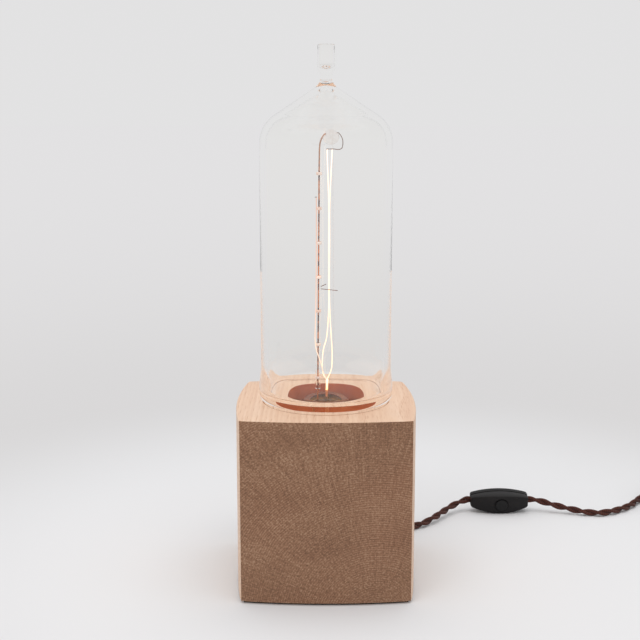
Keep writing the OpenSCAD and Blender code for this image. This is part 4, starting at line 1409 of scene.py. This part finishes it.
@dataclass
class InlineSwitch(Assembly):
    """The push-button switch on the cord, which leans a little towards the front."""

    middle_x: float = 175.1
    front_y: float = 147.8
    lean: float = 12.0
    length: float = 57.4
    tall: float = 19.4
    deep: float = 18.3
    taper: float = 4.5
    crown: float = 5.5
    rear: float = 6.0
    wall: float = 1.8
    button_x: float = 1.1
    button_r: float = 6.0
    corner_spread: float = 0.0256
    cord_hole_r: float = 3.5
    screw_x: float = 19.0
    screw_hole_r: float = 2.1
    segments: int = 128

    @property
    def seam(self) -> float:
        """Depth of the seam between the shells."""
        return self.deep - self.rear

    @property
    def centre(self) -> float:
        """Height of the switch's middle line."""
        return self.tall / 2

    def frame(self) -> Matrix:
        """Place the switch's own millimetres in the scene."""
        place = Matrix.Translation(Vector((self.middle_x, self.front_y, 0.0)) * MM)
        return place @ Matrix.Rotation(math.radians(self.lean), 4, "X") @ Matrix.Scale(MM, 4)

    def outline(self, turn: float, inset: float) -> Point:
        """Give the front outline's point in a direction from its middle.

        Args:
            turn: The direction in radians.
            inset: How far the outline is drawn in.

        Returns:
            The point's X and Z.
        """
        half = self.length / 2 - inset
        tall_r = (self.length**2 / 4 + self.taper**2) / (2 * self.taper)
        below = tall_r - self.centre
        ray = Vector((math.cos(turn), math.sin(turn)))
        reach = half / max(1e-9, abs(ray.x))
        along = -below * abs(ray.y)
        reach = min(reach, along + math.sqrt(along * along - below * below + (tall_r - inset) ** 2))
        point = ray * reach
        return point.x, point.y

    def rounded(self, turn: float, inset: float) -> Point:
        """Give the outline's point with its four corners rounded.

        Args:
            turn: The direction in radians.
            inset: How far the outline is drawn in.

        Returns:
            The point's X and Z.
        """
        weights = {-1.0: 1, -0.5: 2, 0.0: 3, 0.5: 2, 1.0: 1}
        x = z = 0.0
        for offset, weight in weights.items():
            px, pz = self.outline(turn + offset * self.corner_spread, inset)
            x += px * weight
            z += pz * weight
        total = sum(weights.values())
        return x / total, z / total

    def crowned(self, x: float) -> float:
        """Give the depth of the front face at a distance from the middle."""
        crown_r = (self.length**2 / 4 + self.crown**2) / (2 * self.crown)
        return crown_r - math.sqrt(crown_r**2 - x * x)

    def shell_ring(self, inset: float, level: float, follow: bool = False) -> Place:
        """Give a loop round the switch.

        Args:
            inset: How far it is drawn in from the outline.
            level: Its depth, from the front face if it follows that.
            follow: Whether it follows the crown of the front face.

        Returns:
            The loop.
        """

        def place(turn: float) -> Vector:
            """Give the loop's point."""
            x, z = self.rounded(turn, inset)
            return Vector((x, level + follow * self.crowned(x), z + self.centre))

        return place

    def bore_ring(self, radius: float, level: float, follow: bool = False) -> Place:
        """Give a round loop about the button's axis.

        Args:
            radius: Its radius.
            level: Its depth, from the front face if it follows that.
            follow: Whether it follows the crown of the front face.

        Returns:
            The loop.
        """

        def place(turn: float) -> Vector:
            """Give the loop's point."""
            x = self.button_x + radius * math.cos(turn)
            return Vector((x, level + follow * self.crowned(x), radius * math.sin(turn) + self.centre))

        return place

    def blend_ring(self, amount: float, radius: float, inset: float) -> Place:
        """Give a loop on the front face between the button's ring and the outline.

        Args:
            amount: Its place, from 0 at the ring to 1 at the outline.
            radius: Radius of the button's ring.
            inset: How far the outline is drawn in.

        Returns:
            The loop.
        """

        def place(turn: float) -> Vector:
            """Give the loop's point."""
            x, z = self.rounded(turn, inset)
            bx = self.button_x + radius * math.cos(turn)
            bz = radius * math.sin(turn)
            x = bx + (x - bx) * amount
            return Vector((x, self.crowned(x), bz + (z - bz) * amount + self.centre))

        return place

    def shell(
        self, name: str, node: str, places: Sequence[Place], closed: bool, cutter: bmesh.types.BMesh
    ) -> bpy.types.Object:
        """Loft a shell and cut its holes.

        Args:
            name: The piece's name.
            node: The node it stands for.
            places: Its loops.
            closed: Whether the last loop is joined to the first.
            cutter: The holes, as a closed mesh.

        Returns:
            The shell.
        """
        bm = bmesh.new()
        loft(bm, self.segments, places, closed)
        bmesh.ops.transform(bm, matrix=self.frame(), verts=bm.verts)
        piece = self.piece(bm, name, "switch_shell", "black_plastic", node)
        cut_out(piece, cutter)
        return piece

    def front(self) -> bpy.types.Object:
        """Build the front shell with the bore for the button.

        Returns:
            The shell.
        """
        bore, groove = self.button_r + 0.3, self.button_r + 1.15
        edge = 1.5
        places = [
            self.bore_ring(bore, self.wall, True),
            self.bore_ring(bore, 0.7),
            self.bore_ring(groove - 0.15, 0.62),
            self.bore_ring(groove, 0.5),
            self.bore_ring(groove, 0.15, True),
            self.bore_ring(groove + 0.15, 0.0, True),
        ]
        places += [self.blend_ring(i / 10, groove + 0.15, edge) for i in range(1, 11)]
        for i in range(1, 7):
            a = math.pi / 2 * i / 6
            places.append(self.shell_ring(edge * (1 - math.sin(a)), edge * (1 - math.cos(a)), True))
        step = [(0.0, 0.8), (0.12, 0.62), (1.1, 0.5), (1.15, 0.02), (self.wall, 0.02)]
        places += [self.shell_ring(inset, self.seam - short) for inset, short in step]
        places.append(self.shell_ring(self.wall + 0.4, self.wall + 0.5, True))
        return self.shell("switch_face", "switch_front", places, True, self.cord_holes())

    def back(self) -> bpy.types.Object:
        """Build the rear shell with the two screw holes.

        Returns:
            The shell.
        """
        edge = 1.0
        places = [self.shell_ring(inset, self.deep - self.wall) for inset in (9.0, self.wall + 0.4)]
        step = [(self.wall, 0.02), (1.15, 0.02), (1.1, 0.4), (0.12, 0.5), (0.0, 0.65)]
        places += [self.shell_ring(inset, self.seam + past) for inset, past in step]
        for i in range(6):
            a = math.pi / 2 * i / 5
            places.append(self.shell_ring(edge * (1 - math.cos(a)), self.deep - edge + edge * math.sin(a)))
        places += [self.shell_ring(inset, self.deep) for inset in (5.0, 9.0)]
        cutter = self.cord_holes()
        for side in (-1, 1):
            spot = (self.screw_x * side, self.deep, self.centre)
            self.round_plug(cutter, spot, "X", self.screw_hole_r, 3.0, 32)
        return self.shell("switch_back", "switch_rear", places, False, cutter)

    def round_plug(
        self, bm: bmesh.types.BMesh, spot: Spot, axis: str, radius: float, depth: float, segments: int
    ) -> None:
        """Add a round plug at a spot of the switch, turned from Z about an axis.

        Args:
            bm: The mesh it is added to.
            spot: Its middle, in the switch's own millimetres.
            axis: The axis that it is turned about.
            radius: Its radius.
            depth: Its length.
            segments: Number of its sides.
        """
        place = self.frame() @ Matrix.Translation(spot) @ lay_on_side(axis)
        bmesh.ops.create_cone(
            bm, cap_ends=True, segments=segments, radius1=radius, radius2=radius, depth=depth, matrix=place
        )

    def cord_holes(self) -> bmesh.types.BMesh:
        """Give the two round plugs that open the holes for the cord.

        Returns:
            Both plugs as one mesh.
        """
        cutter = bmesh.new()
        for side in (-1, 1):
            spot = (side * self.length / 2, self.seam, self.centre)
            self.round_plug(cutter, spot, "Y", self.cord_hole_r, 8.0, 40)
        return cutter

    def button(self) -> bpy.types.Object:
        """Spin the button, with its small dimple, its rim and a stem that stays clear of the cord.

        Returns:
            The button.
        """
        bm = bmesh.new()
        radius = self.button_r
        face = -0.5
        dimple = [(0.0, 0.35), (0.45, 0.3), (0.75, 0.1), (0.9, 0.02), (1.2, 0), (3.0, 0), (radius - 0.9, 0.03)]
        profile = [(r, face + sink) for r, sink in dimple]
        profile += arc((radius - 0.7, face + 0.75), (0.7, 0.7), -80, 0, 7)
        profile += [(radius, 2.6), (radius + 1.3, 2.6), (radius + 1.3, 4.0), (2.4, 4.0), (2.4, 5.2), (0.0, 5.2)]
        spin(bm, profile, 72)
        place = Matrix.Translation((self.button_x, 0.0, self.centre)) @ lay_on_side("X").inverted()
        bmesh.ops.transform(bm, matrix=self.frame() @ place @ Matrix.Scale(1 / MM, 4), verts=bm.verts)
        return self.piece(bm, "push_button", "button_face", "black_plastic", "switch_button", "button")

    def spring(self) -> bpy.types.Object:
        """Wind the button's spring.

        Returns:
            The spring.
        """
        bm = bmesh.new()
        turns, steps, radius, start, length = 5, 150, 3.3, 4.7, 8.1
        points = []
        for i in range(steps + 1):
            t = i / steps
            a = FULL_TURN * turns * t
            across = Vector((self.button_x + radius * math.cos(a), 0.0, self.centre + radius * math.sin(a)))
            points.append(self.frame() @ (across + Vector((0.0, start + length * t, 0.0))))
        sweep(bm, points, 0.35, 8)
        return self.piece(bm, "spring_coil", "spring_steel", "spring_steel", "button_spring")

    def leads(self) -> bpy.types.Object:
        """Draw the three stretches of core inside the switch.

        Returns:
            The cores.
        """
        bm = bmesh.new()
        end, mid, seam = self.length / 2, self.centre, self.seam
        routes = []
        for side in (-1, 1):
            tab = self.button_x + side * 11.1
            bend = [(end, 1.65), (27.8, 1.65), (25.5, 2.6), (22, 3.9), (19, 4.6), (16, 3.9)]
            route = [(side * x, seam, mid + rise) for x, rise in bend]
            ends = [(tab + side * 2.7, 1.4), (tab + side * 1.2, 0), (tab, 0)]
            routes.append(route + [(x, 14.4, mid + rise) for x, rise in ends])
        low = [(end, 1.65), (27.8, 1.65), (25.5, 2.6), (22, 3.7), (19, 4.6), (12, 5.6), (0, 6.0)]
        across = [(-x, drop) for x, drop in low] + low[-2::-1]
        routes.append([(x, seam, mid - drop) for x, drop in across])
        for route in routes:
            sweep(bm, smooth_path([self.frame() @ Vector(spot) for spot in route], 1.0 * MM), 1.0, 8)
        return self.piece(bm, "switch_cores", "core", "core", "switch_wires")

    def make(self) -> list[bpy.types.Object]:
        """Build the switch and give its pieces, which are handed to the cord."""
        pieces = [self.front(), self.back(), self.button(), self.spring(), self.leads()]
        return pieces + self.dress(brass="switch_contacts", steel="switch_screws")


# ---------------------------------------------------------------- cord


@dataclass
class Coil:
    """The coil of the length that is put away."""

    x: float = 382.0
    y: float = 180.5
    turns: float = 5.526
    pitch: float = 7.3
    rise: float = 7.1
    inner_r: float = 28.7
    start: float = 144.5
    low: float = 4.5
    lead: float = 37.0
    lead_free: float = 30.4
    plug_z: float = 7.0
    rings: int = 24

    def point(self, t: float) -> Vector:
        """Give the coil's point after t turns, in millimetres.

        Args:
            t: Number of turns from its start.

        Returns:
            The point.
        """
        m = t - self.turns / 2
        radius = self.inner_r + self.pitch * abs(m)
        angle = math.radians(self.start - 360 * t)
        height = self.low + self.rise * ease(m / 0.5 + 0.5)
        return Vector((self.x + radius * math.cos(angle), self.y + radius * math.sin(angle), height))

    def heading(self, t: float) -> Vector:
        """Give the direction of the cord after t turns."""
        angle = math.radians(self.start - 360 * t - 90)
        return Vector((math.cos(angle), math.sin(angle), 0.0))

    def route(self) -> list[Vector]:
        """Give the coil's points and those of the straight lead to the plug, in millimetres.

        Returns:
            The points.
        """
        steps = math.floor(self.turns * self.rings)
        points = [self.point(self.turns * i / steps) for i in range(steps + 1)]
        last, away = points[-1], self.heading(self.turns)
        lead = [(self.lead_free * k / 5, ease(k / 5)) for k in range(1, 6)] + [(self.lead, 1.0)]
        for run, share in lead:
            spot = last + away * run
            spot.z = last.z + (self.plug_z - last.z) * share
            points.append(spot)
        return points


@dataclass
class CordSet(Assembly):
    """The twisted textile cord, with its bush, its tie and its plug."""

    switch: InlineSwitch
    coil: Coil = field(default_factory=Coil)
    width: float = 6.6
    full_twist: float = 31.2
    first_turn: float = 0.9
    step: float = 1.55
    block_back: float = 75.5
    exit_y: float = 89.5
    exit_z: float = 30.0
    length: float = 1.8
    plug_t: float = 14.0

    def route(self) -> list[Vector]:
        """Give the cord's centre line, in metres.

        Returns:
            The points of the centre line.
        """
        half, straight = self.switch.length / 2, 2.5
        inside = [
            self.switch.frame() @ Vector((x, self.switch.seam, self.switch.centre)) / MM
            for x in (-half - straight, -half, 0.0, half, half + straight)
        ]
        lead = [
            (0, 77.5, 30), (0, 83.5, 30), (0, 89.5, 30), (0, 96, 29.6), (4.5, 110.3, 26), (16.4, 119.5, 20.5),
            (31.5, 120.1, 14.5), (44.2, 112.1, 9), (49, 106.6, 7.2), (57, 100.7, 5.2), (68, 98, 3.9),
            (77, 99.6, 3.5), (86.3, 104.1, 3.5), (92.7, 108.5, 3.5), (98, 113.2, 4), (104, 118.8, 5.2),
            (110, 126, 5.9), (116, 134.5, 6.5), (123, 144, 7.3), (130.9, 152, 8.9), (138.7, 156.6, 10.5),
        ]  # fmt: skip
        tail = [
            (211, 157.2, 11.7), (218, 155.2, 10.6), (226, 152.7, 9), (237, 149.5, 6.8), (244.5, 147.7, 5.6),
            (252, 145.2, 4.6), (259, 143.4, 3.9), (267, 141.9, 3.5), (274.5, 141.6, 3.5), (283, 144.2, 3.5),
            (291.5, 149, 3.5), (300.5, 155.5, 3.5), (309, 163.3, 3.5), (317.3, 174.6, 3.5),
            (324.8, 185.2, 3.5), (331.5, 194.6, 4),
        ]  # fmt: skip
        into_coil = self.coil.point(0.0) - self.coil.heading(0.0) * self.width
        points = [*map(Vector, lead), *inside, *map(Vector, tail), into_coil, *self.coil.route()]
        return smooth_path([point * MM for point in points], self.step * MM)

    def strand_paths(self, path: Sequence[Vector]) -> list[list[Vector]]:
        """Wind two strands round a centre line and give their own centre lines.

        Args:
            path: The centre line.

        Returns:
            The two strands' own centre lines.
        """
        reach = self.width / 4 * MM
        strands: list[list[Vector]] = [[], []]
        run = 0.0
        for i, place in enumerate(travel_frames(path)):
            if i:
                run += (path[i] - path[i - 1]).length
            angle = FULL_TURN * run / (self.full_twist * MM) + self.first_turn
            for k, strand in enumerate(strands):
                a = angle + math.pi * k
                strand.append(place @ Vector((reach * math.cos(a), reach * math.sin(a), 0.0)))
        return strands

    def cord(self, carried: Sequence[bpy.types.Object]) -> bpy.types.Object:
        """Args:
            carried: The pieces on it; not used.

        Returns:
            The cord.
        """
        path = self.route()
        bm = bmesh.new()
        for strand in self.strand_paths(path):
            sweep(bm, strand, self.width / 4, 12)
        nodes = "cord_inner cord_lead cord_tail cord_coil"
        piece = self.piece(bm, "twisted_cord", "textile", "textile", nodes)
        total = sum((b - a).length for a, b in zip(path, path[1:]))
        log.info("cord: %.3f m along its centre line", total)
        self.exit_y * MM
        self.exit_z * MM
        self.width * MM
        return piece

    def bush(self) -> bpy.types.Object:
        """Spin the bush in the back of the block.

        Returns:
            The bush.
        """
        bm = bmesh.new()
        profile = [(3.5, -10.0), (5.45, -10.0), (5.45, 0.0), (7.0, 0.0)]
        profile += arc((6.4, 1.4), (0.6, 0.6), 0, 90, 5)
        profile += [(5.7, 2.0)]
        for i in range(5):
            z = 2.9 + i * 1.9
            radius = 5.45 - (z - 2.0) * 0.105
            rib = [(0.0, -0.45), (0.0, 0.55), (0.5, 0.75), (0.5, 1.25)]
            profile += [(radius - sink, z + past) for sink, past in rib]
        profile += [(4.5, 12.6), *arc((4.0, 13.4), (0.35, 0.6), 0, 90, 4), (3.6, 14.0), (3.5, 13.8)]
        spin(bm, profile, 64, closed=True)
        place = Matrix.Translation(Vector((0.0, self.block_back, self.exit_z)) * MM)
        bmesh.ops.transform(bm, matrix=place @ lay_on_side("X").inverted(), verts=bm.verts)
        return self.piece(bm, "bush", "black_plastic", "black_plastic", "cord_bush")

    def tie(self) -> bpy.types.Object:
        """Bend the strap that holds the coil.

        Returns:
            The strap.
        """
        near, far, high, thick, half, power = 28.4, 50.9, 15.45, 0.8, 4.0, 0.32

        def strap(depth: float, along: float) -> Place:
            """Give a loop of the strap."""
            def place(turn: float) -> Vector:
                """Give the loop's point."""
                x, z = squarish(turn, (far - near) / 2 + depth, (high - thick) / 2 + depth, power)
                return Vector(((near + far) / 2 + x, along, (high + thick) / 2 + z)) * MM

            return place

        soft = half * 0.94
        section = [(thick * 0.98, soft), (thick * 0.7, half), (0.2, half), (0.0, soft)]
        section += [(depth, -along) for depth, along in reversed(section)]
        bm = bmesh.new()
        loft(bm, 96, [strap(*row) for row in section], closed=True)
        centre = Matrix.Translation(Vector((self.coil.x, self.coil.y, 0.0)) * MM)
        bmesh.ops.transform(bm, matrix=centre @ Matrix.Rotation(math.radians(45), 4, "Z"), verts=bm.verts)
        return self.piece(bm, "coil_strap", "black_plastic", "black_plastic", "coil_tie")

    def plug(self) -> bpy.types.Object:
        """Mould the plug's body.

        Returns:
            The plug's body.
        """

        def section(x: float, wide: float, tall: float, power: float) -> Place:
            """Give a loop of the plug."""
            def place(turn: float) -> Vector:
                """Give the loop's point."""
                y, z = squarish(turn, wide / 2, tall / 2, power)
                return Vector((x, y, self.plug_t / 2 + z))

            return place

        bm = bmesh.new()
        sections = [
            (0.0, 9.0, 8.4, 0.9), (0.2, 10.4, 9.4, 0.85), (1.0, 11.2, 10.2, 0.8), (4.0, 14.0, 12.6, 0.7),
            (7.0, 18.0, 13.6, 0.6), (10.5, 25.0, 13.9, 0.5), (14.0, 31.5, 14.0, 0.42), (17.0, 34.3, 14.0, 0.36),
            (21.0, 35.0, 14.0, 0.32), (30.0, 35.0, 14.0, 0.3), (34.6, 35.0, 14.0, 0.3), (35.5, 34.4, 13.5, 0.3),
            (36.0, 33.0, 12.2, 0.3),
        ]  # fmt: skip
        loft(bm, 80, [section(*row) for row in sections])
        end = self.coil.route()[-1]
        heading = self.coil.heading(self.coil.turns)
        turn = Matrix.Rotation(math.atan2(heading.y, heading.x), 4, "Z")
        place = Matrix.Translation(Vector((end.x, end.y, 0.0)) * MM) @ turn @ Matrix.Scale(MM, 4)
        bmesh.ops.transform(bm, matrix=place, verts=bm.verts)
        return self.piece(bm, "plug_shell", "black_plastic", "black_plastic", "plug_body")

    def make(self) -> None:
        """Build the cord with everything on it."""
        carried = self.switch.make()
        carried += [self.bush(), self.tie(), self.plug(), *self.dress(steel="plug_pins")]
        self.cord(carried)


# ---------------------------------------------------------------- studio


@dataclass(frozen=True)
class Lamp:
    """A round soft lamp; without an aim it shines straight down and no camera ray sees it."""

    name: str
    place: Spot
    size: float
    power: float
    colour: Spot = (1.0, 1.0, 1.0)
    aim: Spot | None = (0.05, 0.0, 0.2)

    def make(self) -> None:
        """Hang the lamp where no mirror or glass ray sees it."""
        data = bpy.data.lights.new(self.name, "AREA")
        data.shape = "DISK"
        data.size = self.size
        data.energy = self.power
        data.color = self.colour
        lamp = link(self.name, data)
        lamp.location = self.place
        lamp.visible_camera = self.aim is not None
        lamp.visible_glossy = False
        lamp.visible_transmission = False
        if self.aim:
            way = Vector(self.aim) - Vector(self.place)
            lamp.rotation_euler = way.to_track_quat("-Z", "Y").to_euler()


@dataclass
class Studio:
    """Camera, pale floor and soft light."""

    lens: float = 65.8
    pitch: float = 9.97
    camera_at: Spot = (-0.005, -0.972, 0.394)
    pale: float = 0.765
    middle: float = 0.698
    cloth: float = 0.765
    fill: float = 0.74
    floor_size: float = 40.0
    lamps: tuple[Lamp, ...] = (
        Lamp("overhead", (0.1, -0.2, 2.2), 2.2, 18.0),
        Lamp("front", (-1.4, -2.2, 1.6), 1.6, 11.0),
        Lamp("strand_light", (0.0, 0.0, 0.283), 0.09, 0.016, (1.0, 0.5, 0.25), None),
    )

    def camera(self) -> None:
        """Place the camera."""
        data = bpy.data.cameras.new("camera")
        data.lens = self.lens
        data.sensor_width = 36.0
        camera = link("camera", data)
        camera.location = self.camera_at
        camera.rotation_euler = (math.radians(90 - self.pitch), 0.0, 0.0)
        bpy.context.scene.camera = camera

    def floor(self) -> None:
        """Lay a floor that is lit near the lamp and runs into the pale background far away."""
        bm = bmesh.new()
        bmesh.ops.create_grid(bm, x_segments=1, y_segments=1, size=self.floor_size)
        piece = link("floor", new_mesh(bm, "floor"))
        graph = Graph(bpy.data.materials.new("floor"))
        x, y, _ = graph.axes(graph.coordinates("Object"))
        dx, dy = x - 0.05, y - 0.05
        away = (dx * dx + dy * dy) ** 0.5
        tones = [(self.middle, 0.985, 0.988), (self.pale, 0.99, 1.0)]
        glows = []
        for level, green, blue in tones:
            colour = (level, level * green, level * blue, 1)
            glows.append(graph.node("ShaderNodeEmission", None, {"Color": colour, "Strength": 1.0}))
        cloth = (self.cloth, self.cloth, self.cloth * 1.015, 1)
        sockets: Sockets = {"Base Color": cloth, "Roughness": 1.0, "Specular IOR Level": 0.0}
        lit = graph.node("ShaderNodeBsdfPrincipled", None, sockets)
        deep = (1 - away**-1.0 * 0.6).between(0.0, 1.0) ** 1.5
        far = graph.node("ShaderNodeMixShader", None, {0: deep, 1: glows[0].outputs[0], 2: glows[1].outputs[0]})
        sockets = {0: away.between(0.26, 0.62), 1: lit.outputs[0], 2: far.outputs[0]}
        joined = graph.node("ShaderNodeMixShader", None, sockets)
        graph.node("ShaderNodeOutputMaterial", None, {"Surface": joined.outputs[0]})
        piece.data.materials.append(graph.owner)

    def world(self) -> None:
        """Light the scene evenly and show a pale background."""
        world = bpy.data.worlds.new("studio")
        bpy.context.scene.world = world
        graph = Graph(world)
        rays = graph.node("ShaderNodeLightPath").outputs
        camera, through, mirrored = [
            Value(graph, rays[f"Is {kind} Ray"]) for kind in ("Camera", "Transmission", "Glossy")
        ]
        seen = graph.math("MAXIMUM", graph.math("MAXIMUM", camera, through), mirrored)
        white = (1.0, 1.0, 1.0, 1.0)
        light = graph.node("ShaderNodeBackground", None, {"Color": white, "Strength": self.fill})
        backdrop = (self.pale, self.pale * 0.995, self.pale, 1.0)
        shown = graph.node("ShaderNodeBackground", None, {"Color": backdrop, "Strength": 1.0})
        mixed = graph.node("ShaderNodeMixShader", None, {0: seen, 1: light.outputs[0], 2: shown.outputs[0]})
        graph.node("ShaderNodeOutputWorld", None, {"Surface": mixed.outputs[0]})

    def make(self) -> None:
        """Set up the studio."""
        self.camera()
        self.floor()
        self.world()
        for lamp in self.lamps:
            lamp.make()
        scene = bpy.context.scene
        scene.view_settings.view_transform = "Standard"
        scene.cycles.max_bounces = BOUNCES
        scene.cycles.glossy_bounces = BOUNCES
        scene.cycles.transmission_bounces = BOUNCES


def main() -> None:
    """Build the lamp in its frame."""
    logging.basicConfig(level=logging.INFO, format="%(name)s: %(message)s")
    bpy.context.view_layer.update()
    palette = Palette()
    Studio().make()
    CordSet(palette, InlineSwitch(palette)).make()
    Block(palette).make()
    Lampholder(palette).make()
    Bulb(palette).make()


if __name__ == "__main__":
    main()
